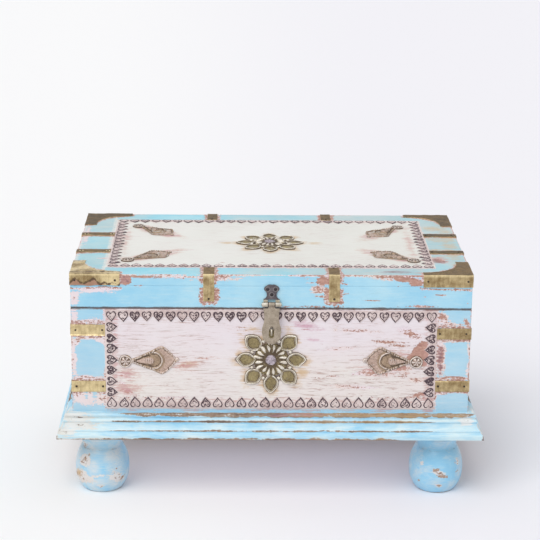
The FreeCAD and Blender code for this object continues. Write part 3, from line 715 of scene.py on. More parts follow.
def grow(tree, base, values):
    """Plain mesh that a tree makes on a base mesh."""
    grower = bpy.data.objects.new("grower", base)
    scene.collection.objects.link(grower)
    modifier = grower.modifiers.new("grow", "NODES")
    modifier.node_group = tree.group
    for label, value in values.items():
        modifier[tree.names[label]] = value
    bpy.context.view_layer.update()
    graph = bpy.context.evaluated_depsgraph_get()
    mesh = bpy.data.meshes.new_from_object(grower.evaluated_get(graph), depsgraph=graph)
    grower.modifiers.remove(modifier)
    bpy.data.objects.remove(grower)
    return mesh


# Paint: the fields that say where each layer is worn

strap_boxes = [(solid.min(0), solid.max(0)) for node in nodes if "_straps_" in node for solid in solids_of(node)]
hinge_boxes = [span(node) for node in nodes if node.startswith("hinge_") and "leaf" in node]
BRACKET_THROAT = 37.0


# Kinds of worn mark: how many times as soft as the mark's own edge, the softest it may be, and the halo
RUBS = {"worn": (1.0, FAR, 0.1), "rosy": (1.5, FAR, 0.28), "scraped": (1.0, 5.0, 0.0), "thin": (1.5, FAR, 0.6)}
# Kinds of soft stain: each layer with how many times as soft it is as the mark's own edge, and its strength
FLUSHES = {"flushed": (("ochre", 2.8, 0.78), ("pink", 2.8, 0.74)), "greyed": (("ochre", 2.4, 0.68),)}


class Coat:
    """How worn each layer of paint is at each point, and how stained; the dark stain also carries painted shadows.
    Over a half shows the next layer.
    """

    def __init__(self, points, wear=-0.14):
        self.points = points
        self.x, self.y, self.z = points.T
        count = len(points)
        self.wear = np.full(count, wear)
        self.primer = np.full(count, wear - 0.15)
        self.wood = np.full(count, -0.4)
        self.white, self.ochre, self.pink, self.dark, self.faded = np.zeros((5, count))

    def rub(self, distance, reach, soft, halo=0.1, wood=1.0, most=1.1):
        """Wear paint through within the reach of a distance. The halo is how much less the primer shows."""
        amount = np.clip(0.5 + (reach - distance) / soft, -0.4, most)
        self.wear = np.maximum(self.wear, amount)
        self.primer = np.maximum(self.primer, amount - halo)
        self.wood = np.maximum(self.wood, amount - wood)

    def stain(self, layer, distance, reach, soft, strength=1.0):
        amount = np.clip(0.5 + (reach - distance) / soft, 0, 1) * strength
        setattr(self, layer, np.maximum(getattr(self, layer), amount))

    def bare(self, where):
        """Faces that never had paint."""
        for layer in ("wear", "primer", "wood"):
            setattr(self, layer, np.where(where, 1.6, getattr(self, layer)))
        for layer in ("ochre", "pink", "dark"):
            setattr(self, layer, np.where(where, 0.0, getattr(self, layer)))

    def round_metal(self, reach, soft, halo=0.1):
        """Ragged margins round the straps, brackets and hinges."""
        for low, high in strap_boxes + hinge_boxes:
            swell = uneven(round(float(low[0] + low[2])) % 97, 26, self.x, self.y, self.z)
            self.rub(box_distance(self.points, low, high), reach * (1 + 0.25 * swell), soft, halo, most=0.70)
        inward_x = half_width + 1.2 - np.abs(self.x)
        inward_y = half_depth + 1.2 - np.abs(self.y)
        hollow = np.sqrt(np.maximum(inward_x, 0) * np.maximum(inward_y, 0)) - BRACKET_THROAT
        plan = np.maximum(hollow, np.maximum(inward_x - bracket_reach, inward_y - bracket_reach))
        below = np.maximum(bracket_low[2] - self.z, 0)
        self.rub(np.hypot(np.maximum(plan, 0), below), reach * 0.8, soft, halo, most=0.72)

    def along_edges(self, low, high, reach, soft, seed=1, halo=0.1):
        """Rubbed arrises of a board."""
        gaps = [np.minimum(self.points[:, axis] - low[axis], high[axis] - self.points[:, axis])
                for axis in range(3)]
        for first, second in ((0, 1), (0, 2), (1, 2)):
            distance = np.hypot(gaps[first], gaps[second])
            swell = uneven(seed + first + 2 * second, 60, self.x, self.y, self.z)
            self.rub(distance, reach * (1 + 0.8 * swell), soft, halo)

    def keep_joint(self, joint, seed):
        """Paint that bridges a glued joint, so that little of it is worn there."""
        whole = 0.15 + 0.3 * uneven(seed, 40, self.x, self.y)
        self.wear = np.where(joint, np.minimum(self.wear, whole), self.wear)

    def marks(self, on_face, u, v, table):
        """Listed wear: kind, middle, half sizes and turn in degrees."""
        for kind, middle, half, turn in table:
            distance = only(on_face, blob_distance(u, v, middle, half, turn))
            soft = min(9.0, 2.0 + 1.2 * min(half))
            if kind in RUBS:
                softer, most, halo = RUBS[kind]
                self.rub(distance, 0.0, min(most, soft * softer), halo)
            elif kind in FLUSHES:
                for layer, softer, strength in FLUSHES[kind]:
                    self.stain(layer, distance, 2.0, soft * softer, strength)
            elif kind == "smeared":
                self.stain("dark", distance, 2.0, 12.0, 0.62)
                self.stain("pink", distance, 2.0, 12.0, 0.66)
            elif kind == "whole":
                amount = np.clip(0.5 - distance / soft, 0, 1)
                self.wear -= amount * 0.8
                self.primer -= amount * 0.8
            else:
                self.stain(kind, distance, 0.0, soft * 1.6, 0.9)

    def fields(self):
        return {
            "coat": np.column_stack((self.wear, self.primer, self.wood, self.white)),
            "tint": np.column_stack((self.ochre, self.pink, self.dark, self.faded)),
        }


BOARD_EDGE = 0.8
BOARD_CELL = 3.4
JOINT_BAND = 2.5


def board_piece(node, finish, body, slot, dress):
    """Fine board in the place of a plain one, painted by its own function."""
    low, high = span(node)
    points, quads = rounded_board(low, high, BOARD_EDGE, BOARD_CELL)
    coat = Coat(points)
    dress(coat, low, high)
    piece = make_piece(node + "_painted", points, quads, finish, **coat.fields())
    return stand_in(piece, body, slot, node)


# Marks on the front are placed by x from the middle and by the drop from the seam or the lid's top.
FRONT_PANEL_MARKS = (
    ("flushed", (-254, 124), (30, 12), 14),
    ("flushed", (-256, 150), (30, 14), 10),
    ("rosy", (-262, 126), (17, 5), 14),
    ("rosy", (-260, 156), (20, 6), 14),
    ("rosy", (-266, 140), (8, 5), 0),
    ("ochre", (-150, 106), (24, 9), -10),
    ("flushed", (-154, 108), (26, 10), -10),
    ("rosy", (-158, 107), (12, 4), -10),
    ("flushed", (-120, 93), (26, 3), 0),
    ("worn", (-122, 93), (18, 1.3), 0),
    ("dark", (-130, 31), (5, 0.7), 50),
    ("dark", (-127, 37), (3.5, 0.7), 86),
    ("ochre", (-33, 37), (16, 8), 0),
    ("worn", (-50, 36), (13, 1.4), 0),
    ("rosy", (-44, 42), (14, 1.8), 0),
    ("ochre", (32, 38), (12, 7), 0),
    ("pink", (66, 33), (32, 8), 6),
    ("pink", (50, 26), (16, 4), 0),
    ("rosy", (66, 33), (22, 2.2), 8),
    ("worn", (58, 38), (12, 1.3), 0),
    ("pink", (76, 58), (16, 4), 6),
    ("worn", (92, 66), (8, 1.1), 10),
    ("ochre", (-56, 86), (8, 13), 0),
    ("ochre", (-14, 146), (8, 7), 0),
    ("ochre", (56, 119), (14, 10), 0),
    ("rosy", (150, 40), (42, 4), 3),
    ("rosy", (248, 45), (26, 9), 20),
    ("rosy", (120, 74), (30, 3.5), -3),
    ("worn", (204, 61), (36, 2.0), 3),
    ("worn", (226, 68), (24, 2.0), 5),
    ("worn", (100, 128), (30, 1.6), -4),
    ("rosy", (150, 146), (46, 3.5), 2),
    ("scraped", (264, 76), (22, 9), -49),
    ("scraped", (272, 86), (9, 24), 0),
    ("scraped", (256, 90), (14, 7), 0),
    ("flushed", (226, 84), (22, 8), 0),
    ("rosy", (188, 119), (50, 8), -2),
    ("rosy", (236, 108), (16, 6), 14),
    ("flushed", (192, 115), (50, 9), -2),
    ("worn", (232, 112), (20, 2.2), 4),
    ("worn", (232, 125), (16, 1.6), 0),
    ("worn", (266, 160), (16, 4), -16),
    ("rosy", (262, 132), (16, 5), 4),
)
LEFT_STILE_MARKS = (
    ("thin", (-350, 90), (7, 46), 0),
    ("rosy", (-344, 66), (7, 10), 20),
    ("rosy", (-327, 54), (24, 4), 0),
    ("rosy", (-327, 131), (27, 5), 2),
    ("worn", (-340, 133), (12, 1.2), 0),
    ("rosy", (-347, 162), (8, 7), 0),
    ("thin", (-322, 168), (34, 15), 0),
    ("rosy", (-325, 25), (27, 6), -3),
    ("thin", (-302, 60), (10, 7), 0),
    ("thin", (-348, 18), (6, 18), 0),
    ("whole", (-325, 80), (22, 17), 0),
    ("whole", (-312, 96), (15, 27), 8),
    ("whole", (-328, 108), (18, 13), 0),
    ("whole", (-330, 165), (5, 7), 0),
    ("whole", (-315, 166), (6, 9), 0),
)
RIGHT_STILE_MARKS = (
    ("rosy", (303, 88), (9, 40), 0),
    ("rosy", (322, 58), (27, 5), 0),
    ("smeared", (302, 94), (6, 42), 0),
    ("worn", (324, 128), (26, 3), -2),
    ("rosy", (303, 14), (12, 9), 10),
    ("rosy", (314, 27), (20, 5), 8),
    ("worn", (347, 24), (4, 8), -30),
    ("rosy", (312, 158), (9, 3), 10),
    ("rosy", (330, 152), (6, 2), -8),
    ("thin", (352, 90), (4, 36), 0),
    ("whole", (333, 92), (17, 26), 0),
    ("whole", (330, 172), (24, 12), 0),
)
FRONT_RAIL_MARKS = (
    ("thin", (-312, 29), (42, 5), 0),
    ("thin", (-348, 44), (8, 14), 0),
    ("rosy", (-300, 25), (40, 2.5), 0),
    ("scraped", (-257, 10), (10, 10), -16),
    ("scraped", (-232, 3.5), (34, 3), 2),
    ("smeared", (-258, 9), (13, 9), -16),
    ("rosy", (-176, 4), (44, 2.5), 0),
    ("rosy", (-98, 6), (40, 5), 0),
    ("worn", (-94, 12), (17, 1.5), 0),
    ("worn", (-233, 20), (7, 1.4), 0),
    ("worn", (-168, 5.5), (25, 1.6), 0),
    ("worn", (-78, 3), (16, 1.4), 0),
    ("worn", (60, 6), (10, 1.3), 4),
    ("worn", (68, 13), (9, 1.3), 0),
    ("scraped", (90, 11), (12, 8), 0),
    ("rosy", (82, 26), (14, 9), 0),
    ("worn", (130, 16), (10, 1.8), 0),
    ("worn", (132, 34), (8, 1.5), 0),
    ("worn", (88, 40), (9, 1.5), 0),
    ("worn", (198, 5), (13, 1.6), 0),
    ("scraped", (238, 8), (32, 5), 6),
    ("scraped", (256, 15), (14, 5), 0),
    ("rosy", (216, 6), (40, 4), 2),
    ("worn", (261, 55), (8, 1.1), 0),
    ("worn", (272, 39), (7, 1.1), -20),
    ("scraped", (64, 58.5), (62, 1.7), 0),
    ("scraped", (262, 57), (26, 1.8), 0),
    ("worn", (176, 46), (22, 1.2), 2),
    ("worn", (300, 36), (14, 1.2), -4),
    ("worn", (350, 27), (5, 3), 40),
    ("worn", (347, 51), (2.5, 2), 0),
)
TOP_PANEL_MARKS = (
    ("pink", (-152, -52), (24, 2.6), 12),
    ("ochre", (-80, 0), (14, 9), 0),
    ("ochre", (84, 0), (18, 10), 0),
    ("rosy", (306, -116), (12, 20), 20),
    ("smeared", (304, -118), (14, 20), 20),
    ("greyed", (318, 40), (26, 34), 0),
    ("greyed", (306, -58), (26, 24), 0),
    ("rosy", (334, -66), (10, 6), 0),
    ("greyed", (318, 110), (24, 22), 0),
    ("flushed", (306, -112), (22, 22), 20),
    ("flushed", (250, -200), (60, 6), 0),
    ("rosy", (-302, -110), (12, 4), 0),
    ("flushed", (-269, 0), (7, 125), 0),
    ("flushed", (262, 0), (7, 125), 0),
    ("greyed", (336, 0), (18, 190), 0),
    ("whole", (316, 0), (20, 22), 0),
    ("thin", (-346, 60), (5, 60), 0),
    ("smeared", (222, -196), (34, 13), 3),
    ("worn", (-90, -136), (12, 1.3), 0),
    ("pink", (60, -110), (22, 1.6), 2),
)
# Sizes of the ornaments that stains and pressings both follow
LEAF_LENGTH = 92.0
DISC_RADIUS = 12.0
FLOWER_TIP = 63.5
FLOWER_NOTCH = 40.0
# Reach of the painted shadow along the seam between lid and body
SEAM_SHADOW = 1.5


def flower_distance(across, up):
    """About the distance outside an eight-petalled flower."""
    petal = np.abs(np.cos(4 * np.arctan2(up, across))) ** 1.6
    return np.hypot(across, up) - FLOWER_NOTCH - (FLOWER_TIP - FLOWER_NOTCH) * petal


def leaf_place(points, face):
    """Disc middle and turn of one leaf, read from the solid in the frame."""
    across, up, _ = np.array(FACES[face], dtype=float)
    u = points @ across
    v = points @ up
    flat = np.column_stack((u, v))
    middle = flat.mean(0)
    spread = np.linalg.svd(flat - middle, full_matrices=False)[2][0]
    along = (flat - middle) @ spread
    aside = (flat - middle) @ np.array((-spread[1], spread[0]))
    near_low = np.ptp(aside[along < along.min() + 8])
    near_high = np.ptp(aside[along > along.max() - 8])
    if near_low < near_high:
        spread, along, aside = -spread, -along, -aside
    disc = middle + spread * (along.min() + DISC_RADIUS)
    disc = disc + np.array((-spread[1], spread[0])) * (aside.max() + aside.min()) / 2
    return disc, math.degrees(math.atan2(spread[1], spread[0]))


def dress_front_board(coat, low, high):
    """White panel between blue stiles: flushed round its ornaments and borders and worn at its marks, with painted
    shadow along the seam and round the flower.
    """
    on_front = coat.y < low[1] + BOARD_EDGE
    drop = seam_z - coat.z
    panel_half = span("front_heart_strip_top")[1][0] + 1.5
    panel_bottom = seam_z - span("front_heart_strip_bottom")[0][2] + 1.0
    inside = np.maximum(np.abs(coat.x) - panel_half, drop - panel_bottom)
    coat.white = np.where(on_front, np.clip(0.5 - inside / 3.0, 0, 1), 0.0)
    coat.wear += 0.05 * uneven(3, 150, coat.x, coat.z) + np.where(coat.white > 0.5, 0.02, 0.0)
    coat.primer += 0.05 * uneven(4, 120, coat.x, coat.z)
    lower = np.clip(ramp(drop, 30, 150) + 0.25 * uneven(5, 200, coat.x, coat.z), 0, 1)
    coat.faded = np.where(coat.white > 0.5, lower, 0.35 + 0.3 * lower)
    coat.round_metal(6.5, 10.0, 0.16)
    coat.along_edges(low, high, 1.0, 6.0)
    column = only(on_front, np.abs(np.abs(coat.x) - panel_half))
    coat.rub(column, 1.5, 9.0, 0.2)
    coat.marks(on_front, coat.x, drop, FRONT_PANEL_MARKS + LEFT_STILE_MARKS + RIGHT_STILE_MARKS)
    on_panel = on_front & (np.abs(coat.x) < panel_half)
    coat.stain("pink", only(on_panel, drop), 14.0, 22.0, 0.46)
    past_end = only(on_panel, panel_half - np.abs(coat.x))
    past_row = only(on_panel, panel_bottom - drop)
    for layer, strength in (("ochre", 0.58), ("pink", 0.6)):
        coat.stain(layer, past_end, 29.0, 18.0, strength)
        coat.stain(layer, past_row, 25.0, 14.0, strength * 0.85)
    coat.rub(only(on_panel, drop), 2.0, 9.0, 0.3)
    ends = ramp(np.abs(coat.x), 60, 200)
    low_row = only(on_panel, np.abs(drop - (panel_bottom - 22)))
    coat.rub(low_row, 4.0 * ends - 3.0, 20.0, 0.12)
    flower = flower_distance(coat.x, coat.z - front_flower_z)
    patches = 0.8 + 0.3 * uneven(8, 45, coat.x, coat.z)
    coat.stain("ochre", only(on_front, flower), 15.0, 26.0, 0.9 * patches)
    # Painted shadow close round the flower's petals, partly dark grime
    coat.stain("dark", only(on_front, flower), 2.6, 5.0, 0.78)
    # Painted shadow along the seam under the lid
    coat.stain("dark", drop, SEAM_SHADOW, 0.8)
    skirting = only(on_panel, np.abs(drop - (panel_bottom + 3)))
    coat.wear -= np.clip(1 - skirting / 5, 0, 1) * 0.5
    coat.bare(coat.y > high[1] - 1.0)


def dress_plain_board(coat, low, high):
    """Blue boards of the ends and the back, rubbed at their straps, arrises and here and there."""
    inside_x = np.abs(coat.x) < max(abs(low[0]), abs(high[0])) - 1.0
    inside_y = np.abs(coat.y) < max(abs(low[1]), abs(high[1])) - 1.0
    coat.wear += 0.11 + 0.15 * uneven(11, 170, coat.x, coat.y, coat.z)
    coat.primer += 0.06 * uneven(12, 90, coat.x, coat.y, coat.z)
    coat.round_metal(6.5, 10.0, 0.16)
    coat.along_edges(low, high, 1.6, 7.0, seed=5)
    coat.rub(seam_z - coat.z, 2.5, 9.0)
    coat.bare(inside_x & inside_y)


def dress_rail(coat, low, high):
    """Blue rail under the lid's board, with the front one's marks and a painted shadow along its lower edge at the
    seam.
    """
    on_front = (coat.y < low[1] + BOARD_EDGE) & (low[1] < -half_depth + 1)
    coat.wear += 0.02 + 0.06 * uneven(21, 160, coat.x, coat.y, coat.z)
    coat.wear += np.where(coat.x > 0, 0.05, -0.03)
    coat.round_metal(7.0, 10.0)
    coat.along_edges(low, high, 0.1, 2.2, seed=9)
    coat.keep_joint(coat.z > high[2] - JOINT_BAND, 34)
    coat.marks(on_front, coat.x, top_z - coat.z, FRONT_RAIL_MARKS)
    # Painted shadow along the rail's lower edge at the seam
    coat.stain("dark", coat.z - low[2], SEAM_SHADOW, 0.8)
    outer = (np.abs(coat.x) > half_width - 1.0) | (np.abs(coat.y) > half_depth - 1.0)
    coat.bare(~outer & (coat.z < high[2] - 1.0))


def dress_lid_board(coat, low, high):
    """White top panel in a blue margin, which fades to grey on the right and is whitish at the left."""
    on_top = coat.z > high[2] - BOARD_EDGE
    on_front = (coat.y < low[1] + BOARD_EDGE) & ~on_top
    panel_x = span("lid_heart_strip_front")[1][0] + 1.5
    panel_y = span("lid_heart_strip_back")[1][1] + 1.0
    inside = np.maximum(np.abs(coat.x) - panel_x, np.abs(coat.y) - panel_y)
    coat.white = np.where(on_top, np.clip(0.5 - inside / 3.0, 0, 1), 0.0)
    greyer = ramp(coat.x, -190, 160) + 0.35 * uneven(31, 160, coat.x, coat.y) + ramp(-coat.x, 230, 300) * 0.5
    coat.faded = np.where(on_top, np.clip(greyer, 0, 1), -1.0)
    margin = np.minimum(coat.x + half_width, -panel_x - coat.x)
    whitish = np.where(on_top & (coat.x < -panel_x), 0.53 * np.clip(1.3 - margin / 16, 0, 1), 0.0)
    coat.white = np.maximum(coat.white, whitish)
    coat.wear += np.where(coat.white > 0.5, -0.04, 0.03) + 0.06 * uneven(32, 150, coat.x, coat.y)
    coat.round_metal(6.0, 10.0)
    coat.along_edges(low, high, 1.7, 4.6, seed=13, halo=0.24)
    coat.keep_joint(coat.z < low[2] + JOINT_BAND, 33)
    rim = only(on_top, np.abs(inside))
    coat.rub(rim, 1.0, 9.0, 0.35)
    coat.marks(on_top, coat.x, coat.y, TOP_PANEL_MARKS)
    coat.marks(on_front, coat.x, top_z - coat.z, FRONT_RAIL_MARKS)
    coat.stain("ochre", only(on_top, flower_distance(coat.x, coat.y)), 14.0, 26.0, 0.85)
    for leaf in solids_of("lid_leaves_front") + solids_of("lid_leaves_back"):
        disc, turn = leaf_place(leaf, "top")
        way = np.array((math.cos(math.radians(turn)), math.sin(math.radians(turn))))
        around = blob_distance(coat.x, coat.y, disc + way * LEAF_LENGTH * 0.62, (LEAF_LENGTH * 0.82, 24.0), turn)
        coat.stain("ochre", only(on_top, around), 2.0, 18.0, 0.66)
        coat.stain("pink", only(on_top, around), 0.0, 16.0, 0.66)
    inner = (np.abs(coat.x) < half_width - 1.0) & (np.abs(coat.y) < half_depth - 1.0)
    coat.bare(inner & (coat.z < low[2] + 1.0))


for board, finish, slot, dress in (
    ("front_board", panel_paint, "pale_painted_wood", dress_front_board),
    ("back_board", rail_paint, "blue_painted_wood", dress_plain_board),
    ("left_end_board", end_panel_paint, "blue_painted_wood", dress_plain_board),
    ("right_end_board", end_panel_paint, "blue_painted_wood", dress_plain_board),
    ("lid_board", top_paint, "pale_painted_wood", dress_lid_board),
    ("lid_rail_front", rail_paint, "blue_painted_wood", dress_rail),
    ("lid_rail_back", rail_paint, "blue_painted_wood", dress_rail),
    ("lid_rail_left", end_rail_paint, "blue_painted_wood", dress_rail),
    ("lid_rail_right", end_rail_paint, "blue_painted_wood", dress_rail),
):
    board_piece(board, finish, "lid" if board.startswith("lid") else "chest_body", slot, dress)
nodes["base_board"].data.materials.clear()
nodes["base_board"].data.materials.append(inside_wood)


# Plinth: the frame's moulding profile, run along each side and mitred

# Worn lines along the arrises: place in the outline as shares of the overhang and the height, half width in
# millimetres, start and end as shares of the half length, and how yellow the right half is
PLINTH_LINES = (
    (1.0, 0.0, 3.9, -1.10, 0.62, 0.66), (0.793, 0.33, 2.4, -0.81, 0.80, 0.30),
    (0.585, 0.69, 2.9, -0.81, 0.78, 0.70), (0.43, 0.98, 6.4, -0.74, 1.00, 0.62),
)


PROFILE_STEP = 1.4
PLINTH_STEP = 4.5


def moulding_profile(step):
    """Outline of the front moulding as overhang and height, read from its mitred end."""
    skin = merged_copy("plinth_moulding_front")
    skin.normal_update()
    mitre = Vector((-1, 1, 0)).normalized()
    ends = {face for face in skin.faces if abs(face.normal.dot(mitre)) > 0.999}
    following = {}
    for face in ends:
        for loop in face.loops:
            edge = loop.edge
            if any(other not in ends for other in edge.link_faces):
                following[loop.vert] = loop.link_loop_next.vert
    start = min(following, key=lambda vertex: (vertex.co.y, vertex.co.z))
    corners = [start]
    while following[corners[-1]] is not start:
        corners.append(following[corners[-1]])
    places = [np.array((-corner.co.y - half_depth, corner.co.z - plinth_low[2])) for corner in corners]
    skin.free()
    points = []
    for here, there in zip(places, places[1:] + places[:1]):
        count = max(1, math.ceil(np.linalg.norm(there - here) / step))
        points += [here + (there - here) * number / count for number in range(count)]
    return np.array(points)


def dress_plinth(coat, p, h, run, run_half):
    """Streaky worn lines: greyish brown at the left and ochre at the right, with pale bands between them, each member
    paler towards its lower part, partly as painted light.
    """
    share = run / run_half
    to_right = ramp(share, -0.05, 0.2)
    for number, (p_share, h_share, reach, start, end, yellow) in enumerate(PLINTH_LINES):
        distance = np.hypot(p - plinth_overhang * p_share, h - plinth_height * h_share)
        swell = uneven(40 + number, 70, run) + 0.6 * uneven(50 + number, 18, run)
        there = ramp(share, start - 0.06, start + 0.06) * (1 - ramp(share, end - 0.06, end + 0.1))
        thicker = 0.74 + 0.26 * ramp(share, start, -0.1)
        width = reach * there * thicker * (1 + 0.32 * swell)
        coat.rub(distance, width - 0.9, 3.0, halo=0.0, wood=0.1, most=0.75)
        coat.stain("dark", distance, width * 0.45 - 0.5, 2.0, 0.85 if reach < 5 else 0.62 - 0.14 * to_right)
        coat.stain("ochre", distance, width + 0.6, 4.0, yellow * to_right * there)
        coat.stain("pink", distance, width - 1.5, 5.0, 0.62 * bump_at(share, 0.14, 0.3))
    levels = [plinth_height * line[1] for line in PLINTH_LINES]
    up = np.interp(h, np.repeat(levels, 2)[1:] + np.tile((0.0, 0.1), 4)[:7], (0, 1, 0, 1, 0, 1, 1))
    pale = ramp(-share, 0.74, 0.96)
    coat.wear += 0.22 * pale + 0.05 * uneven(61, 120, run, h)
    coat.primer -= 0.25 * pale
    # Each member paler towards its lower part: faded paint, and partly painted light on faces that turn up
    faded = 0.8 * (1 - up) + 0.3 * uneven(63, 110, run, h * 4) + pale + 0.4 * ramp(share, 0.7, 0.95)
    coat.faded = np.clip(faded, 0, 1)
    for place, level, half in ((-0.975, 0.84, 15), (-0.96, 0.52, 15), (-1.03, 0.28, 9), (0.99, 0.72, 6)):
        patch = blob_distance(run, h, (place * run_half, level * plinth_height), (half, 4.0))
        coat.rub(patch, 4.0, 14.0, halo=0.6, most=0.8)
        coat.rub(patch, -2.4, 6.0, halo=0.05, wood=0.4, most=0.62)
    corner = np.abs(plinth_overhang + run_half - np.abs(run))
    coat.rub(np.hypot(plinth_overhang - p, np.minimum(corner, 40)), 1.5, 7.0, wood=0.6)
    coat.rub(corner, 1.5, 6.0, wood=0.7)
    coat.stain("dark", np.hypot(corner, h), 4.0, 5.0, 0.9)


def plinth_piece(side, length_half, face_half, finish):
    """One side of the plinth: the profile run along it, mitred by its own overhang and a little nicked."""
    p, h = moulding_profile(PROFILE_STEP).T
    stations = np.linspace(-1, 1, round(2 * length_half / PLINTH_STEP) + 1)
    share, offset = np.meshgrid(stations, p, indexing="ij")
    height = np.broadcast_to(h, share.shape)
    run = share * (length_half + offset)
    nick = uneven(71 + len(side), 26, run, height * 3) * 0.16 + uneven(77, 8, run, height * 2) * 0.06
    free = ((offset > 1.0) & (height > 0.5) & (np.abs(share) < 0.995)).astype(float)
    out = face_half + offset + (nick - 0.3) * free
    z = plinth_low[2] + height + (nick * 0.4 - 0.1) * free
    points = {
        "front": np.stack((run, -out, z), -1),
        "back": np.stack((-run, out, z), -1),
        "right": np.stack((out, run, z), -1),
        "left": np.stack((-out, -run, z), -1),
    }[side].reshape(-1, 3)
    coat = Coat(points, wear=-0.04)
    way = -1.0 if side in ("back", "left") else 1.0
    dress_plinth(coat, offset.ravel(), height.ravel(), (run * way).ravel(), length_half)
    coat.bare((height.ravel() < 0.2) & (offset.ravel() < plinth_overhang - 2))
    node = "plinth_moulding_" + side
    piece = make_piece(node + "_painted", points, tube_faces(*share.shape), finish, crease=28.0, **coat.fields())
    turn_outwards(piece)
    stand_in(piece, "chest_body", "blue_painted_wood", node)


for side in ("front", "back"):
    plinth_piece(side, half_width, half_depth, plinth_paint)
for side in ("left", "right"):
    plinth_piece(side, half_depth, half_width, end_plinth_paint)


# Feet: turned on a lathe to the frame's outline

# Chips in the paint by foot: angle from the front towards the right, height, half sizes in millimetres
FOOT_CHIPS = {
    "foot_front_left": (
        ("ochre", (-58, 36), (13, 9), 30), ("thin", (-52, 34), (20, 11), 20), ("worn", (-72, 30), (6, 4), 20),
        ("thin", (-42, 26), (22, 8), 20), ("scraped", (-38, 66), (2, 5), 0), ("scraped", (-50, 58), (3, 1.6), 0),
        ("thin", (-40, 62), (14, 12), 0), ("thin", (38, 30), (18, 9), -30),
        ("rosy", (40, 36), (13, 4), -35), ("scraped", (50, 27), (7, 3.2), 50), ("worn", (30, 40), (5, 1.6), -10),
        ("worn", (0, 14), (2.4, 1.8), 60),
        ("thin", (0, 16), (5, 3), 0), ("thin", (-10, 36), (12, 3), 10), ("worn", (34, 48), (2.2, 1.8), 0),
        ("worn", (-30, 74), (2, 2.6), 0), ("rosy", (-58, 88), (8, 5), 0),
    ),
    "foot_front_right": (
        ("scraped", (-7, 50), (7, 2.4), 5), ("scraped", (9, 38), (9, 3), -12), ("rosy", (2, 44), (10, 4), -20),
        ("scraped", (2, 18), (4, 3), 0), ("rosy", (2, 18), (6, 4), 0), ("scraped", (44, 42), (4.5, 2), 25),
        ("worn", (42, 60), (2.2, 1.8), 0), ("rosy", (50, 58), (4, 7), 0), ("worn", (-46, 24), (4, 2), 50),
        ("thin", (-38, 60), (4, 4), 60),
    ),
}
FOOT_POINT_GAP = 2.5
FOOT_CELL = 2.6
FOOT_TURNS = 96
FOOT_GIRTH_RADIUS = 44.0
FOOT_CREASE = 82.5


def foot_outline(node, middle, floor_z):
    """Radius and height up the outside of a foot, read from its mesh."""
    skin = merged_copy(node)
    places = {(round(math.hypot(vertex.co.x - middle[0], vertex.co.y - middle[1]), 1), round(vertex.co.z - floor_z, 1))
              for vertex in skin.verts}
    skin.free()
    line = []
    for radius, height in sorted(places, key=lambda place: (place[1], -place[0])):
        here = np.array((radius, height))
        if radius > FOOT_GIRTH_RADIUS / 2 and (not line or np.linalg.norm(here - line[-1]) > FOOT_POINT_GAP):
            line.append(here)
    fine = [line[0]]
    for here, there in zip(line, line[1:]):
        count = max(1, math.ceil(np.linalg.norm(there - here) / FOOT_CELL))
        fine += [here + (there - here) * (number + 1) / count for number in range(count)]
    return np.array(fine).T


def foot_piece(node):
    """One foot turned from its outline, chipped and scuffed at the floor, with a painted contact shadow along the
    floor and painted shade in its crease.
    """
    low, high = span(node)
    middle = (low + high) / 2
    radius, height = foot_outline(node, middle, low[2])
    angle = np.arange(FOOT_TURNS) * 2 * math.pi / FOOT_TURNS
    x = np.outer(radius, np.sin(angle))
    y = -np.outer(radius, np.cos(angle))
    z = np.repeat(height[:, None], FOOT_TURNS, axis=1)
    points = np.stack((x + middle[0], y + middle[1], z + low[2]), -1).reshape(-1, 3)
    coat = Coat(points, wear=-0.06)
    coat.wear += 0.1 * uneven(len(node), 34, coat.x, coat.y, coat.z)
    paler = 0.5 if "left" in node else 0.0
    coat.faded = np.clip(paler + 0.5 * uneven(len(node) + 1, 36, coat.x, coat.y, coat.z), -0.2, 1)
    around = np.arctan2(coat.x - middle[0], middle[1] - coat.y) * FOOT_GIRTH_RADIUS
    chips = FOOT_CHIPS.get(node, FOOT_CHIPS["foot_front_right"])
    spread = [(kind, (math.radians(where[0]) * FOOT_GIRTH_RADIUS, where[1]), half, turn)
              for kind, where, half, turn in chips]
    coat.marks(np.ones(len(points), dtype=bool), around, coat.z, spread)
    coat.rub(coat.z, 0.6, 6.0, halo=0.2)
    # Painted contact shadow where the foot meets the floor
    coat.stain("dark", coat.z, 1.2, 2.6, 0.9)
    # Painted shade along the crease where the neck meets the ball
    crease = np.abs(coat.z - FOOT_CREASE) + 0.6 * uneven(len(node) + 2, 20, coat.x, coat.y)
    coat.stain("dark", crease, 1.0, 3.0, 0.74)
    faces = tube_faces(len(radius), FOOT_TURNS)
    piece = make_piece(node + "_turned", points, faces, foot_paint, crease=40.0, **coat.fields())
    turn_outwards(piece)
    stand_in(piece, "chest_body", "blue_painted_wood", node)


for foot in ("foot_front_left", "foot_front_right", "foot_back_left", "foot_back_right"):
    foot_piece(foot)


# Brass straps and brackets

SHEET_EDGE = 0.3
# Depth of the painted highlight down from the lid's front arris
ARRIS_GLEAM = 3.4
NAIL_RING = 4.4
FLANGE_DEPTH = 3.0


def metal_fields(mesh, base, stain=0.0, shine=1.0):
    """Age, with painted shade making faces that look up darker on top of their tarnish, a painted highlight at bends,
    and stains.
    """
    normals = np.empty(len(mesh.vertices) * 3, dtype=np.float32)
    mesh.vertices.foreach_get("normal", normals)
    normals = normals.reshape(-1, 3)
    # Faces that look up are aged darker: partly tarnish, partly painted shade for their darker reflection
    upward = np.clip((normals[:, 2] - 0.75) / 0.2, 0, 1)
    # Painted highlight along rounded bends, where the shine factor allows
    bend = np.clip((1 - np.abs(normals).max(1)) / 0.12, 0, 1) * shine
    count = len(normals)
    return np.column_stack((base + 0.62 * upward, bend, np.full(count, stain), np.zeros(count)))


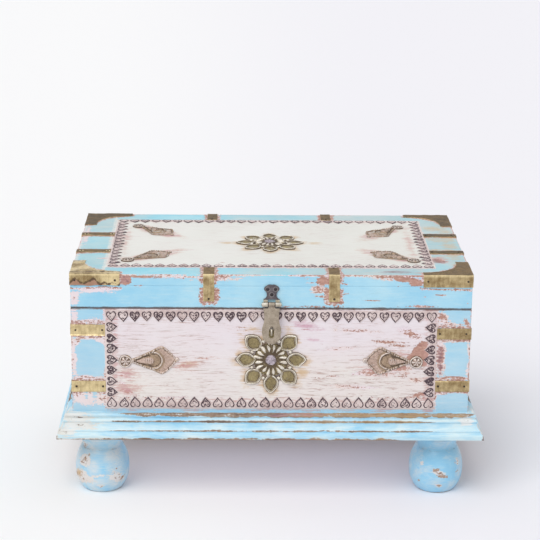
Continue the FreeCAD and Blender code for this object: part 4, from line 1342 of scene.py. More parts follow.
def battered_fields(points, fields):
    """The battered bracket: a wavy torn edge with coppery metal below it, and dark creases."""
    along = points[:, 0] - bracket_low[0]
    below = (top_z - points[:, 2]) / (top_z - bracket_low[2])
    inward = points[:, 1] - bracket_low[1]
    on_front = inward < FLANGE_DEPTH
    whole = ramp(along, 52, 68)
    rise = 0.42 - 0.3 * whole
    torn = 0.86 - rise * np.abs(np.sin(along / 9.5 + 0.4)) + 0.08 * np.sin(along / 2.7 + 1.0)
    creases = bump_at(np.sin(along / 9.0 + below * 2.5), 0.9, 0.16)
    broken = 0.95 + 0.25 * uneven(17, 14.0, points[:, 0], points[:, 2])
    flange = np.maximum(1.42 * bump_at(below, torn, 0.2) * broken, 0.7 * creases)
    fold = 1.3 * bump_at(inward, 15 + 4 * uneven(18, 30.0, points[:, 0]), 4.0) * broken
    far_end = 1.15 * ramp(inward, bracket_reach - 16, bracket_reach - 9)
    # The front flange is aged darker; the top is made paler, a painted highlight on the crumpled top against the
    # painted top shade
    fields[:, 0] += np.where(on_front, 0.34, -0.42) + 0.4 * uneven(19, 42.0, points[:, 0], points[:, 1])
    fields[:, 2] = np.where(on_front, flange, np.maximum(0.35, np.maximum(fold, far_end)))
    fields[:, 3] = np.where(on_front, np.clip((below - torn) / 0.1, 0, 1) * (1 - whole), 0.0)


def nail_rings(points, fields):
    """Sheet made paler in a ring round each nail, through lower age and the bend field."""
    for nail in solids_of("lid_nails"):
        near = np.clip((NAIL_RING - np.linalg.norm(points - nail.mean(0), axis=1)) / 1.2, 0, 1)
        fields[:, 0] -= 1.1 * near
        fields[:, 1] = np.maximum(fields[:, 1], near)


def sheet_piece(node, body, cell, dent, seed, age, stain=0.0, crumple=None):
    """Brass straps or a bracket, dented, aged, with a painted highlight along the lid's front arris."""
    mesh = soft_copy(node, cell, SHEET_EDGE, dent, seed, crumple)
    fields = metal_fields(mesh, age, stain, 1.0 if body == "lid" else 0.0)
    points = mesh_points(mesh)
    if body == "lid":
        # Painted highlight along the lid's front arris
        arris = np.clip(1 - (top_z - points[:, 2]) / ARRIS_GLEAM, 0, 1) * (points[:, 1] < bracket_low[1] + 1)
        fields[:, 1] = np.maximum(fields[:, 1], arris)
    if crumple:
        battered_fields(points, fields)
    if node == "lid_straps_left":
        nail_rings(points, fields)
    piece = finish_piece(node + "_sheet", mesh, strap_brass, metal=fields)
    return stand_in(piece, body, "sheet_brass", node)


def crumpled_flange(place):
    """The battered bracket at the front left: a wavy lower edge and creases across the sheet."""
    along = place.x - bracket_low[0]
    below = (top_z - place.z) / (top_z - bracket_low[2])
    inward = place.y - bracket_low[1]
    wave = math.sin(along / 7.5) * 0.5 + math.sin(along / 3.6 + 1.2) * 0.25
    push = Vector((0, 0, 0))
    if inward < FLANGE_DEPTH:
        push.y = -1.1 * max(below, 0) * wave
        push.z = 1.3 * max(below - 0.5, 0) * (1.2 + wave) * 2.0
    elif below < 0.2:
        push.z = 1.1 * noise.noise(Vector((along / 17, inward / 10, 2.0))) * min(inward / 12, 1.0)
    return push


# Node, body, grid in millimetres, depth and seed of the dents, age, stain and crumpling. The age holds tarnish and
# painted light: low for the front left pieces that face the lamp, higher for the right and back ones, painted as if in
# shade.
for sheet in (
    ("corner_bracket_front_left", "lid", 2.0, 0.6, 3.1, -0.1, 0.25, crumpled_flange),
    ("corner_bracket_front_right", "lid", 2.6, 0.45, 7.7, 0.32, 0.1),
    ("corner_bracket_back_left", "lid", 3.0, 0.5, 12.4, 0.6),
    ("corner_bracket_back_right", "lid", 3.0, 0.4, 17.9, 0.5),
    ("lid_straps_front", "lid", 3.4, 0.3, 21.0, 0.24),
    ("lid_straps_back", "lid", 4.0, 0.3, 24.0, 0.5),
    ("lid_straps_left", "lid", 1.6, 0.3, 27.0, 0.4),
    ("lid_straps_right", "lid", 4.0, 0.3, 30.0, 0.7),
    ("corner_straps_front_left", "chest_body", 3.4, 0.35, 33.0, -0.12),
    ("corner_straps_front_right", "chest_body", 3.4, 0.35, 36.0, 0.3),
    ("corner_straps_back_left", "chest_body", 4.0, 0.3, 39.0, 0.6),
    ("corner_straps_back_right", "chest_body", 4.0, 0.3, 42.0, 0.6),
):
    sheet_piece(*sheet)


# Heart strips: a pinked strip with a row of pressed hearts

HEART_PITCH = 20.8
HEART_WIDTH = 19.2
HEART_LENGTH = 20.2
HEART_POINTS = 16
HEART_MIDDLE_SHARE = 0.46
HEART_LEAN = 0.08
HEART_GROWTH = 0.07
strip_low, strip_high = span("front_heart_strip_top")
STRIP_WIDTH = strip_high[2] - strip_low[2]
STRIP_SHEET = strip_high[1] - strip_low[1]
# Share of the way out from the heart's middle, height above the strip's sheet, ridge and scribbled inside
HEART_RINGS = (
    (1.00, -0.5, 0.85, 0.0), (0.78, 0.9, 1.0, 0.0), (0.66, 0.4, 0.15, 0.5), (0.50, 0.4, 0.32, 1.0),
    (0.30, 0.8, 0.25, 1.0),
)


def heart_shape(count, across, tall, tip_y):
    """Heart with its tip up at the given height and its lobes down."""
    angle = np.arange(count) * 2 * math.pi / count
    x = np.sign(np.sin(angle)) * np.abs(np.sin(angle)) ** np.where(np.cos(angle) < 0, 2.2, 2.7)
    y = (13 * np.cos(angle) - 5 * np.cos(2 * angle) - 2 * np.cos(3 * angle) - np.cos(4 * angle)) / 29
    y_low = -17 / 29
    return np.column_stack((x * across / 2, tip_y - (y - y_low) * tall))[::-1]


def heart_template():
    outline = heart_shape(HEART_POINTS, HEART_WIDTH, HEART_LENGTH, STRIP_WIDTH - 0.2)
    rings = [(share, STRIP_SHEET + height, ridge, inner) for share, height, ridge, inner in HEART_RINGS]
    points, faces, fields = relief(outline, (0.0, STRIP_WIDTH * HEART_MIDDLE_SHARE), rings)
    return make_piece("heart", points, faces, border_sheet, relief=fields)


def heart_tree():
    """Row of hearts along a strip, each a little turned, grown and rubbed by its own amount."""
    tree = Tree("row_of_hearts", (("Heart", "Object"), ("Count", "Int"), ("Pitch", "Float"), ("Lean", "Float"),
                                  ("Growth", "Float"), ("Rub", "Float"), ("Finish", "Material")))
    pitch, lean, rub = tree.given("Pitch"), tree.given("Lean"), tree.given("Rub")
    first = tree.node("ShaderNodeCombineXYZ", X=tree.math("MULTIPLY", pitch, 0.5))
    step = tree.node("ShaderNodeCombineXYZ", X=pitch)
    row = tree.node("GeometryNodeMeshLine", {"mode": "OFFSET"}, Count=tree.given("Count"),
                    Start_Location=first.outputs[0], Offset=step.outputs[0])
    heart = tree.node("GeometryNodeObjectInfo", Object=tree.given("Heart"))
    turn = tree.node("ShaderNodeCombineXYZ", Z=tree.random(tree.math("MULTIPLY", lean, -1.0), lean, 4))
    size = tree.random(1.0, tree.math("ADD", 1.0, tree.given("Growth")), 9)
    hearts = tree.node("GeometryNodeInstanceOnPoints", Points=row.outputs[0], Instance=heart.outputs["Geometry"],
                       Rotation=turn.outputs[0], Scale=size)
    rubbed = tree.random(tree.math("SUBTRACT", rub, 0.5), tree.math("ADD", rub, 0.5), 15)
    kept = tree.node("GeometryNodeStoreNamedAttribute", {"data_type": "FLOAT_COLOR", "domain": "INSTANCE"},
                     Geometry=hearts.outputs[0], Name="rub", Value=rubbed)
    both = tree.node("GeometryNodeJoinGeometry")
    tree.group.links.new(kept.outputs[0], both.inputs[0])
    tree.group.links.new(tree.given("Geometry"), both.inputs[0])
    tree.close(both.outputs[0])
    return tree


def pinked_strip(length, count):
    """Strip from its straight outer edge to a row of points, closed all round."""
    band = STRIP_WIDTH * 0.5
    pitch = length / count
    low = [(0.0, 0.0)]
    high = [(0.0, band)]
    for number in range(count):
        low += [(pitch * (number + 0.5), 0.0), (pitch * (number + 1), 0.0)]
        high += [(pitch * (number + 0.5), STRIP_WIDTH), (pitch * (number + 1), band)]
    columns = len(low)
    flat = [(x, y, level) for level in (0.0, STRIP_SHEET) for x, y in low + high]
    faces = []
    top = 2 * columns
    for here in range(columns - 1):
        there = here + 1
        faces.append((top + here, top + there, top + columns + there, top + columns + here))
        faces.append((there, here, columns + here, columns + there))
        faces.append((here, there, top + there, top + here))
        faces.append((columns + there, columns + here, top + columns + here, top + columns + there))
    faces.append((0, top, top + columns, columns))
    last = columns - 1
    faces.append((last, columns + last, top + columns + last, top + last))
    return np.array(flat), faces


def heart_strip(tree, heart, node, face, body, length, corner, turn, rub):
    """One strip: drawn along X from its corner, grown with hearts, then set down on its face."""
    count = round(length / HEART_PITCH)
    points, faces = pinked_strip(length, count)
    base = bpy.data.meshes.new("strip")
    base.from_pydata((points * MM).tolist(), [], faces)
    fields = np.zeros((len(points), 4))
    fields[:, 1] = 0.25
    add_field(base, "relief", fields)
    base.materials.append(border_sheet)
    mesh = grow(tree, base, {"Heart": heart, "Count": count, "Pitch": length / count * MM, "Lean": HEART_LEAN,
                             "Growth": HEART_GROWTH, "Rub": rub, "Finish": border_sheet})
    placed = onto(face, mesh_points(mesh), corner, turn)
    mesh.vertices.foreach_set("co", (placed * MM).astype(np.float32).ravel())
    piece = finish_piece(node + "_pressed", mesh, border_sheet)
    return stand_in(piece, body, "pressed_border", node)


def heart_frames():
    """The borders of the front and the lid: long strips, and shorter ones between them."""
    tree = heart_tree()
    heart = heart_template()
    low, high = span("front_heart_strip_bottom")[0], span("front_heart_strip_top")[1]
    left, right, bottom, top = low[0], high[0], low[2], high[2]
    y = -half_depth
    column = top - bottom - 2 * STRIP_WIDTH
    for name, corner, turn, length, rub in (
        ("bottom", (left, y, bottom), 0, right - left, 0.35),
        ("top", (right, y, top), 180, right - left, 0.75),
        ("left", (left, y, top - STRIP_WIDTH), -90, column, 1.3),
        ("right", (right, y, bottom + STRIP_WIDTH), 90, column, 1.4),
    ):
        heart_strip(tree, heart, "front_heart_strip_" + name, "front", "chest_body", length, corner, turn, rub)
    low, high = span("lid_heart_strip_front")[0], span("lid_heart_strip_back")[1]
    left, right, near, far = low[0], high[0], low[1], high[1]
    column = far - near - 2 * STRIP_WIDTH
    for name, corner, turn, length, rub in (
        ("front", (left, near, top_z), 0, right - left, 0.3),
        ("back", (right, far, top_z), 180, right - left, 0.3),
        ("left", (left, far - STRIP_WIDTH, top_z), -90, column, 0.3),
        ("right", (right, near + STRIP_WIDTH, top_z), 90, column, 0.5),
    ):
        heart_strip(tree, heart, "lid_heart_strip_" + name, "top", "lid", length, corner, turn, rub)
    bpy.data.objects.remove(heart)


heart_frames()


# Rosettes: eight rimmed petals, a ring of rays and a rough boss

# Share of the way out, height, ridge, crease, boss tint and age of each ring of a petal
PETAL_RINGS = (
    (1.00, 0.0, 0.1, 1.2), (0.97, 1.5, 0.3, 0.9), (0.93, 2.6, 1.2),
    (0.85, 2.8, 1.2), (0.80, 1.9, 0.1, 1.0), (0.76, 2.1, 0.6, 0.2),
    (0.72, 2.0, 0.5, 0.3), (0.67, 1.2, 0.0, 1.2), (0.60, 1.1, 0.0, 0.5),
    (0.45, 1.4), (0.30, 1.7, 0.1), (0.15, 1.9, 0.1),
)
RAY_RINGS = (
    (1.00, 2.6, 0.0, 1.0), (0.90, 3.5, 0.7, 0.2), (0.66, 4.5, 1.0),
    (0.30, 4.9, 1.0),
)
KNOT_RINGS = ((1.00, 0.0, 0.2, 0.7), (0.85, 2.6, 0.8, 0.1), (0.5, 3.6, 1.0))
HUB_RINGS = (
    (1.00, 0.0, 0.0, 0.9), (0.96, 2.7, 0.1, 0.8), (0.7, 3.0, 0.0, 0.8),
    (0.4, 3.0, 0.0, 1.0),
)
BOSS_RINGS = (
    (1.00, 1.4, 0.0, 0.9, 0.6), (0.96, 3.6, 0.2, 0.2, 1.0), (0.82, 4.9, 0.2, 0.0, 1.0),
    (0.66, 4.4, 0.0, 0.4, 1.0), (0.5, 5.2, 0.2, 0.0, 1.0), (0.3, 4.9, 0.0, 0.3, 1.0),
    (0.15, 5.6, 0.3, 0.0, 1.0),
)
PETAL_ROOT = 26.0
PETAL_HALF = 14.2
BROAD_PETAL_HALF = 15.4
PETAL_MIDDLE = 43.5
RAY_ROOT = 14.0
RAY_TIP = 30.0
RAY_HALF = 3.1
RAY_COUNT = 16
KNOT_PLACE = 37.0
KNOT_RADIUS = 3.2
ORNAMENT_HEIGHT = 5.75
HUB_RADIUS = 31.0
BOSS_RADIUS = 9.8


def petal_outline(root, tip, half, blunt, count=36, lean=1.0):
    """Petal along +Y from its root to its tip; a smaller blunt value gives squarer ends."""
    share = (1 - np.cos(np.linspace(0, math.pi, count // 2 + 1))) / 2
    bulge = np.sin(math.pi * share ** lean) ** blunt
    along = root + (tip - root) * share
    right = np.column_stack((half * bulge, along))
    left = np.column_stack((-half * bulge, along))[-2:0:-1]
    return np.concatenate((right, left))


def turned_part(part, angle):
    points, faces, fields = part
    return onto("top", points, (0, 0, 0), angle), faces, fields


def hand_beaten(points, seed, length, sway):
    """Points above the base swayed a little sideways and in height."""
    wobble = np.column_stack([uneven(seed + axis, length, points[:, 0], points[:, 1]) for axis in range(3)])
    raised = np.clip(points[:, 2] / 2, 0, 1)
    return points + wobble * raised[:, None] * (sway, sway, 0.3)


def rosette_parts():
    broad = relief(petal_outline(PETAL_ROOT, FLOWER_TIP, BROAD_PETAL_HALF, 0.74), (0.0, PETAL_MIDDLE), PETAL_RINGS)
    narrow = relief(petal_outline(PETAL_ROOT, FLOWER_TIP, PETAL_HALF, 0.78), (0.0, PETAL_MIDDLE), PETAL_RINGS)
    parts = [relief(circle(HUB_RADIUS, 48), (0, 0), HUB_RINGS)]
    parts += [turned_part(narrow, 90 * number) for number in range(4)]
    parts += [turned_part(broad, 90 * number + 45) for number in range(4)]
    knot = relief(circle(KNOT_RADIUS, 12, (0, KNOT_PLACE)), (0, KNOT_PLACE), KNOT_RINGS)
    parts += [turned_part(knot, 45 * number + 22.5) for number in range(8)]
    for number in range(RAY_COUNT):
        longer, wider, leaning = (float(uneven(seed, 1.7, np.array(float(number)))) for seed in (201, 202, 203))
        tip = RAY_TIP + 2.2 * longer
        outline = petal_outline(RAY_ROOT + longer, tip, RAY_HALF * (1 + 0.22 * wider), 0.6, 16, 1.6)
        ray = relief(outline, (0.0, (RAY_ROOT + tip) / 2), RAY_RINGS)
        parts.append(turned_part(ray, 360 / RAY_COUNT * (number + 0.5) + 2.6 * leaning))
    parts.append(relief(circle(BOSS_RADIUS, 32), (0, 0), BOSS_RINGS))
    return parts


def rosette_piece(node, face, where, body, seed, age):
    points, faces, fields = gathered(rosette_parts())
    beaten = uneven(seed + 5, 4.5, points[:, 0], points[:, 1]) * (fields[:, 2] * 0.4 + 0.16)
    raised = np.clip(points[:, 2] / 2, 0, 1)
    points = hand_beaten(points, seed, 18, 0.7)
    points[:, 2] = np.minimum(points[:, 2] + beaten * raised, ORNAMENT_HEIGHT)
    fields[:, 3] = age
    piece = make_piece(node + "_pressed", onto(face, points, where), faces, flower_brass, crease=50.0,
                       relief=fields)
    return stand_in(piece, body, "pressed_brass", node)


rosette_piece("front_rosette", "front", (0.0, -half_depth, front_flower_z), "chest_body", 81, 0.0)
rosette_piece("top_rosette", "top", (0.0, 0.0, top_z), "lid", 87, 0.6)


# Leaves: a kite-shaped leaf with a rim, a raised drop and eye, a disc at the root and a bead at the tip

LEAF_HALF = 26.0
LEAF_NECK = 9.0
LEAF_WIDEST = 63.0
DROP_START = 12.0
DROP_END = 44.0
DROP_HALF = 6.6
DROP_RIPPLE = 3.4
HOLLOW_MIDDLE = 51.0
ARC_RADIUS = 12.5
LEAF_BEAD = 1.6
LEAF_BEAD_STEP = 4.2


def leaf_half_at(x):
    """Half width of the leaf: hollow sides out to the widest place, then nearly straight to the tip."""
    out = np.clip((x - LEAF_NECK) / (LEAF_WIDEST - LEAF_NECK), 0, 1)
    back = np.clip((LEAF_LENGTH - x) / (LEAF_LENGTH - LEAF_WIDEST), 0, 1)
    swelling = 3.0 + (LEAF_HALF - 3.0) * out ** 1.15
    closing = 1.2 + (LEAF_HALF - 1.2) * np.sin(back * math.pi / 2) ** 1.15
    return np.minimum(swelling, closing)


def leaf_height(x, y):
    """Height of the pressing above its base, with ridge, crease and rosy fields; the crease field also lays painted
    shade in the valley beside the drop and inside the arc.
    """
    edge = np.minimum((leaf_half_at(x) - np.abs(y)) * 0.9, np.minimum(x - LEAF_NECK, LEAF_LENGTH - x))
    rim = bump_at(edge, 1.9, 1.9)
    dashes = 0.5 + 0.5 * np.sin(x * 1.15 + 2.0 * np.sin(x * 0.31))
    gutter = bump_at(edge, 4.6, 1.3)
    reach = np.clip((x - DROP_START) / (DROP_END - DROP_START), 0, 1)
    drop = np.where(x < DROP_END, np.abs(y) - DROP_HALF * reach, np.hypot(x - DROP_END, y) - DROP_HALF)
    in_drop = ramp(-drop, -0.9, 0.9) * (x > DROP_START)
    ripple = in_drop * (0.5 + 0.5 * np.sin(x * 2 * math.pi / DROP_RIPPLE))
    around = np.hypot(x - HOLLOW_MIDDLE, y)
    ahead = ramp(x, HOLLOW_MIDDLE - 9, HOLLOW_MIDDLE + 1)
    arc = bump_at(around, ARC_RADIUS + 2.2, 1.7) * ahead
    shadow = bump_at(around, ARC_RADIUS - 0.8, 1.5) * ahead
    valley = bump_at(drop, 2.4, 2.2) * (1 - ahead) * (edge > 3.4)
    fan = ramp(around, ARC_RADIUS + 5, ARC_RADIUS + 9) * ramp(x, HOLLOW_MIDDLE, HOLLOW_MIDDLE + 14)
    spokes = fan * (0.5 + 0.5 * np.sin(np.arctan2(y, x - HOLLOW_MIDDLE) * 26)) * (edge > 4)
    height = 1.0 + 1.0 * rim - 0.4 * gutter + 2.0 * in_drop + 0.5 * ripple + 1.6 * arc - 0.4 * shadow - 0.3 * valley
    height = height + 0.5 * spokes
    ridge = np.clip((0.1 + 0.8 * dashes) * rim + 0.8 * arc + 0.62 * ripple + 0.4 * spokes, 0, 1)
    # Painted shade: the valley beside the drop and the shadow inside the arc darken the crease
    crease = (1.0 - 0.8 * dashes) * rim + 0.6 * gutter + 0.85 * valley + 0.95 * shadow + 0.42 * (in_drop - ripple)
    streaky = bump_at(np.sin(x * 0.55 + y * 0.35), 1.0, 0.35) * (edge > 4)
    crease = np.clip(np.clip(crease, 0, 1) + 0.3 * streaky, 0, 1)
    rosy = np.clip(0.9 * in_drop + 0.85 * fan + 0.2, 0, 1)
    return height, ridge, crease, rosy


def leaf_blade():
    """Closed pressing over a grid that follows the leaf's outline."""
    rows, columns = 109, 49
    x = LEAF_NECK + (LEAF_LENGTH - LEAF_NECK) * np.linspace(0, 1, rows)
    across = np.sin(np.linspace(-1, 1, columns) * math.pi / 2)
    grid_x = np.repeat(x[:, None], columns, axis=1)
    grid_y = leaf_half_at(x)[:, None] * across[None, :]
    height, ridge, crease, rosy = leaf_height(grid_x, grid_y)
    top = np.stack((grid_x, grid_y, height), -1).reshape(-1, 3)
    fields = np.stack((ridge, crease, rosy, np.zeros_like(ridge)), -1).reshape(-1, 4)
    number = np.arange(rows * columns).reshape(rows, columns)
    faces = np.stack((number[:-1, :-1], number[1:, :-1], number[1:, 1:], number[:-1, 1:]), -1).reshape(-1, 4)
    rim = list(number[0, :]) + list(number[1:, -1]) + list(number[-1, -2::-1]) + list(number[-2:0:-1, 0])
    base = top[rim].copy()
    base[:, 2] = 0.0
    start = len(top)
    count = len(rim)
    faces = faces.tolist()
    for here in range(count):
        there = (here + 1) % count
        faces.append([int(rim[there]), int(rim[here]), start + here, start + there])
    faces.append([start + here for here in range(count)])
    fields = np.concatenate((fields, np.tile((0.2, 0.8, 0.0, 0.0), (count, 1))))
    return np.concatenate((top, base)), faces, fields


DISC_RINGS = (
    (1.00, 0.0, 0.2, 0.9), (0.97, 1.8, 0.5, 0.5), (0.90, 2.6, 0.9, 0.0, 0.3),
    (0.82, 2.5, 0.9, 0.0, 0.3), (0.74, 1.4, 0.1, 1.0, 0.2), (0.64, 1.5, 0.1, 1.0, 0.8),
    (0.55, 2.6, 0.8, 0.1, 1.0), (0.40, 2.9, 0.6, 0.2, 1.0), (0.25, 2.3, 0.2, 0.8, 1.0),
    (0.12, 3.0, 0.8, 0.1, 1.0),
)
TIP_RINGS = (
    (1.00, 0.0, 0.2, 0.7, 0.5), (0.92, 1.4, 0.5, 0.3, 0.8), (0.60, 2.3, 0.8, 0.0, 0.8),
    (0.30, 2.4, 0.5, 0.3, 0.8),
)
BEAD_RINGS = ((1.0, 0.0), (0.85, 0.7), (0.45, 1.1))
TIP_RADIUS = 4.0


def rim_beads_tree():
    """Beads set at even steps along a rim."""
    tree = Tree("beaded_rim", (("Bead", "Object"), ("Step", "Float"), ("Finish", "Material")))
    curve = tree.node("GeometryNodeMeshToCurve", Mesh=tree.given("Geometry"))
    points = tree.node("GeometryNodeResampleCurve", {"mode": "LENGTH"}, Curve=curve.outputs[0],
                       Length=tree.given("Step"))
    bead = tree.node("GeometryNodeObjectInfo", Object=tree.given("Bead"))
    beads = tree.node("GeometryNodeInstanceOnPoints", Points=points.outputs[0], Instance=bead.outputs["Geometry"],
                      Scale=tree.random(0.45, 1.1, 3))
    tree.close(beads.outputs[0])
    return tree


def rim_beads(tree, bead):
    """The beads of one leaf's rim, as a part."""
    x = np.linspace(LEAF_NECK + 8, LEAF_LENGTH - 3.0, 60)
    points, edges = [], []
    for sign in (-1, 1):
        start = len(points)
        y = sign * (leaf_half_at(x) - 2.0)
        points += [(a, b, 1.7) for a, b in zip(x, y)]
        edges += [(start + number, start + number + 1) for number in range(len(x) - 1)]
    line = bpy.data.meshes.new("rim")
    line.from_pydata((np.array(points) * MM).tolist(), edges, [])
    mesh = grow(tree, line, {"Bead": bead, "Step": LEAF_BEAD_STEP * MM, "Finish": leaf_brass})
    faces = [list(polygon.vertices) for polygon in mesh.polygons]
    count = len(mesh.vertices)
    return mesh_points(mesh).astype(float), faces, np.tile((0.6, 0.12, 0.0, 0.0), (count, 1))


def flowered(disc, petals):
    """A disc whose middle is marked with the petals of a small flower."""
    points, faces, fields = disc
    lobe = 0.5 + 0.5 * np.cos(petals * np.arctan2(points[:, 1], points[:, 0]))
    middle = np.hypot(points[:, 0], points[:, 1]) < DISC_RADIUS * 0.66
    fields[:, 0] = np.where(middle, 0.9 * lobe, fields[:, 0])
    fields[:, 1] = np.where(middle, 0.85 * (1 - lobe), fields[:, 1])
    return points, faces, fields


def leaf_parts():
    """One whole leaf along +X with its disc in the middle of the frame's origin."""
    tree = rim_beads_tree()
    points, faces, _ = relief(circle(LEAF_BEAD, 8), (0, 0), BEAD_RINGS)
    bead = make_piece("bead", points, faces, leaf_brass)
    tip = (LEAF_LENGTH, 0.0)
    disc = flowered(relief(circle(DISC_RADIUS, 36), (0, 0), DISC_RINGS), 6)
    parts = [leaf_blade(), rim_beads(tree, bead), disc, relief(circle(TIP_RADIUS, 18, tip), tip, TIP_RINGS)]
    bpy.data.objects.remove(bead)
    return gathered(parts)


def dress_leaves(node, face, body, age, seed):
    """The pressed leaves of one node, each laid over its own solid."""
    across, up, out = np.array(FACES[face], dtype=float)
    parts = []
    for number, solid in enumerate(solids_of(node)):
        disc, turn = leaf_place(solid, face)
        points, faces, fields = leaf_pattern[0], leaf_pattern[1], leaf_pattern[2].copy()
        fields[:, 3] = age
        where = across * disc[0] + up * disc[1] + out * (solid @ out).min()
        parts.append((onto(face, hand_beaten(points, seed + number, 20, 0.6), where, turn), faces, fields))
    points, faces, fields = gathered(parts)
    piece = make_piece(node + "_pressed", points, faces, leaf_brass, crease=50.0, relief=fields)
    return stand_in(piece, body, "pressed_brass", node)


leaf_pattern = leaf_parts()
dress_leaves("front_leaf_left", "front", "chest_body", 0.0, 91)
dress_leaves("front_leaf_right", "front", "chest_body", 0.2, 95)
dress_leaves("lid_leaves_front", "top", "lid", 0.7, 99)
dress_leaves("lid_leaves_back", "top", "lid", 0.8, 103)


# Nails: one domed head repeated over the frame's nails

def nail_tree():
    """Nail heads on points, each standing out along the point's own direction."""
    tree = Tree("nail_heads", (("Nail", "Object"), ("Finish", "Material")))
    nail = tree.node("GeometryNodeObjectInfo", Object=tree.given("Nail"))
    way = tree.node("GeometryNodeInputNamedAttribute", {"data_type": "FLOAT_VECTOR"}, Name="way")
    turn = tree.node("FunctionNodeAlignRotationToVector", {"axis": "Z"}, Vector=way.outputs[0])
    heads = tree.node("GeometryNodeInstanceOnPoints", Points=tree.given("Geometry"),
                      Instance=nail.outputs["Geometry"], Rotation=turn.outputs[0],
                      Scale=tree.random(0.88, 1.12, 6))
    tree.close(heads.outputs[0])
    return tree


NAIL_RINGS = ((1.0, 0.0), (0.97, 0.45), (0.7, 1.0), (0.3, 0.9))
NAIL_RADIUS = 1.9


def nail_piece(tree, nail, node, body):
    places, ways = [], []
    for solid in solids_of(node):
        low, high = solid.min(0), solid.max(0)
        size = high - low
        axis = int(np.argmin(size))
        middle = (low + high) / 2
        sign = 1.0 if middle[axis] > 0 or axis == 2 else -1.0
        middle[axis] = low[axis] if sign > 0 else high[axis]
        way = np.zeros(3)
        way[axis] = sign
        places.append(middle)
        ways.append(way)
    points = bpy.data.meshes.new("nail_points")
    points.from_pydata((np.array(places) * MM).tolist(), [], [])
    field = points.attributes.new("way", "FLOAT_VECTOR", "POINT")
    field.data.foreach_set("vector", np.array(ways, dtype=np.float32).ravel())
    mesh = grow(tree, points, {"Nail": nail, "Finish": nail_iron})
    piece = finish_piece(node + "_heads", mesh, nail_iron)
    return stand_in(piece, body, "dark_nail", node)


def nail_heads():
    tree = nail_tree()
    points, faces, _ = relief(circle(NAIL_RADIUS, 12), (0, 0), NAIL_RINGS)
    nail = make_piece("nail", points, faces, nail_iron)
    nail_piece(tree, nail, "body_strap_nails", "chest_body")
    nail_piece(tree, nail, "lid_nails", "lid")
    bpy.data.objects.remove(nail)


nail_heads()


# Hasp, staple and hinges: the frame's own shapes with their edges eased

HANGER_ARM_HEIGHT = 8.3
SCREW_HOLE_RADIUS = 3.0


def eased_piece(node, finish, body, slot, cell=6.0, edge=0.3, dent=0.0, seed=0.0, metal=None):
    mesh = soft_copy(node, cell, edge, dent, seed)
    fields = {"metal": metal(mesh)} if metal else {}
    piece = finish_piece(node + "_eased", mesh, finish, **fields)
    return stand_in(piece, body, slot, node)


def plate_fields(mesh):
    """Painted shade in the gaps at both ends of the plate's own knuckle."""
    points = mesh_points(mesh)
    pin_low, _ = span("hasp_pin")
    fields = np.zeros((len(points), 4))
    gap = bump_at(np.abs(points[:, 0]), np.abs(points[points[:, 2] > pin_low[2], 0]).max(), 1.6)
    fields[:, 2] = np.where(points[:, 2] > pin_low[2] - 1.5, gap, 0.0)
    return fields


def hanger_fields(mesh):
    """Silver arms and knuckles below, pale edges that are partly rubbed and partly painted highlight, and painted
    shade in the holes with pale rims round the screws.
    """
    points = mesh_points(mesh)
    pin_low, pin_high = span("hasp_pin")
    arm_top = (pin_low[2] + pin_high[2]) / 2 + HANGER_ARM_HEIGHT
    fields = metal_fields(mesh, 0.0)
    fields[:, 0] = points[:, 2] < arm_top
    for screw in solids_of("hanger_screws"):
        away = points - screw.mean(0)
        distance = np.hypot(away[:, 0], away[:, 2])
        fields[:, 1] = np.maximum(fields[:, 1], bump_at(distance, SCREW_HOLE_RADIUS + 1.0, 1.0))
        fields[:, 2] = np.maximum(fields[:, 2], distance < SCREW_HOLE_RADIUS)
    return fields


eased_piece("hasp_hanger", shield_iron, "lid", "dark_iron", 1.2, 0.5, 0.12, 51.0, hanger_fields)
eased_piece("hasp_plate", hasp_steel, "hasp", "worn_steel", 1.6, 0.45, 0.12, 54.0, plate_fields)
eased_piece("staple", bright_steel, "chest_body", "plated_steel", cell=40.0, edge=0.0)
eased_piece("hasp_pin", bright_steel, "lid", "plated_steel", cell=40.0, edge=0.0)
for side in ("left", "right"):
    eased_piece("hinge_body_leaf_" + side, hinge_brass, "chest_body", "sheet_brass")
    eased_piece("hinge_lid_leaf_" + side, hinge_brass, "lid", "sheet_brass")
for node, finish in (("hanger_screws", shadow_iron), ("hinge_pins", bright_steel),
                     ("hinge_body_screws", bright_steel), ("hinge_lid_screws", bright_steel)):
    nodes[node].data.materials.clear()
    nodes[node].data.materials.append(finish)


# Studio: pale floor, soft light from the upper left and the photograph's viewpoint

# The floor's painted shade, a little darker to the right as if the light fell off there, fans out from this far in
# front of the chest
FLOOR_SHADE_FAN = 3.3
FLOOR_SIZE = 60
SKY_AS_LIGHT = 0.62
SKY_AS_SEEN = 0.97


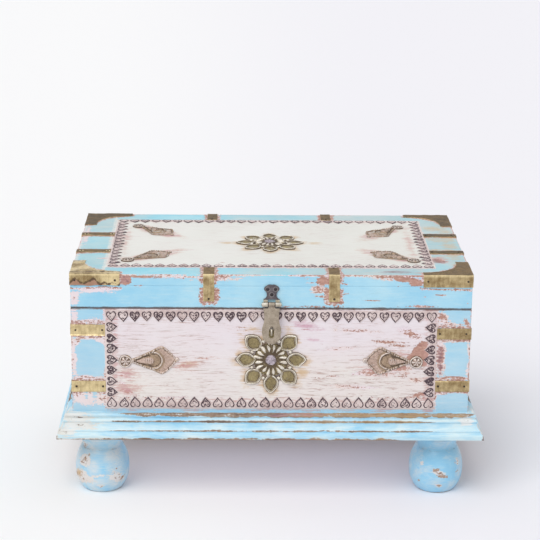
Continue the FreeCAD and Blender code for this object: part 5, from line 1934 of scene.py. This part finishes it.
def studio():
    """Floor without an edge in sight, painted a little darker to the right, under a sky that is white to the camera
    and softer as light.
    """
    bpy.ops.mesh.primitive_plane_add(size=FLOOR_SIZE)
    floor = bpy.context.object
    floor.name = "studio_floor"
    finish = Finish("pale_floor")
    split = finish.node("SeparateXYZ", finish.place)
    aside = finish.math("DIVIDE", split.outputs[0], finish.math("ADD", split.outputs[1], FLOOR_SHADE_FAN))
    # Painted shade: the floor's colour turns darker to the right, as the light falling off
    tone = finish.blend(finish.step(aside, -0.10, 0.08), colour(249, 249, 249), colour(242, 241, 245))
    finish.surface(Base_Color=tone, Roughness=0.9, Specular_IOR_Level=0.1)
    floor.data.materials.append(finish.material)
    world = bpy.data.worlds.new("studio_white")
    world.use_nodes = True
    tree = world.node_tree
    background = tree.nodes["Background"]
    rays = tree.nodes.new("ShaderNodeLightPath")
    pick = tree.nodes.new("ShaderNodeMath")
    pick.operation = "MAXIMUM"
    tree.links.new(rays.outputs["Is Camera Ray"], pick.inputs[0])
    tree.links.new(rays.outputs["Is Glossy Ray"], pick.inputs[1])
    level = tree.nodes.new("ShaderNodeMapRange")
    level.inputs["To Min"].default_value = SKY_AS_LIGHT
    level.inputs["To Max"].default_value = SKY_AS_SEEN
    tree.links.new(pick.outputs[0], level.inputs["Value"])
    tree.links.new(level.outputs[0], background.inputs["Strength"])
    background.inputs["Color"].default_value = colour(250, 250, 252)
    scene.world = world


def lamp(name, kind, place, target, power, **settings):
    light = bpy.data.lights.new(name, kind)
    light.energy = power
    for label, value in settings.items():
        setattr(light, label, value)
    holder = bpy.data.objects.new(name, light)
    scene.collection.objects.link(holder)
    holder.location = place
    way = Vector(target) - Vector(place)
    holder.rotation_euler = way.to_track_quat("-Z", "Y").to_euler()


# The photograph's viewpoint: place in metres, turns in radians, and the focal length in pixels of the frame
VIEW_PLACE = (-0.0637, -3.2916, 1.3074)
VIEW_YAW, VIEW_PITCH, VIEW_ROLL = 0.0196, 0.2786, 0.0098
FOCAL_PIXELS = 1820.6
FRAME_PIXELS = 540.0
SENSOR_WIDTH = 36.0


def camera():
    yaw, pitch, roll = VIEW_YAW, VIEW_PITCH, VIEW_ROLL
    forward = Vector((math.sin(yaw) * math.cos(pitch), math.cos(yaw) * math.cos(pitch), -math.sin(pitch)))
    level = Vector((math.cos(yaw), -math.sin(yaw), 0))
    upward = level.cross(forward)
    right = level * math.cos(roll) + upward * math.sin(roll)
    up = upward * math.cos(roll) - level * math.sin(roll)
    lens = bpy.data.cameras.new("photograph_view")
    lens.sensor_width = SENSOR_WIDTH
    lens.lens = SENSOR_WIDTH * FOCAL_PIXELS / FRAME_PIXELS
    lens.clip_end = 200.0
    viewer = bpy.data.objects.new("photograph_view", lens)
    scene.collection.objects.link(viewer)
    turned = Matrix((right, up, -forward)).transposed().to_4x4()
    viewer.matrix_world = Matrix.Translation(VIEW_PLACE) @ turned
    scene.camera = viewer


studio()
lamp("soft_key", "SUN", (-0.95, -1.75, 2.6), (0, 0, 0), 1.64, angle=math.radians(46))
lamp("floor_fill", "AREA", (0, -0.085, 0.112), (0, -0.085, 0), 0.26, shape="RECTANGLE", size=0.62, size_y=0.22,
     color=(0.74, 0.80, 1.0))
camera()

scene.view_settings.view_transform = "Standard"
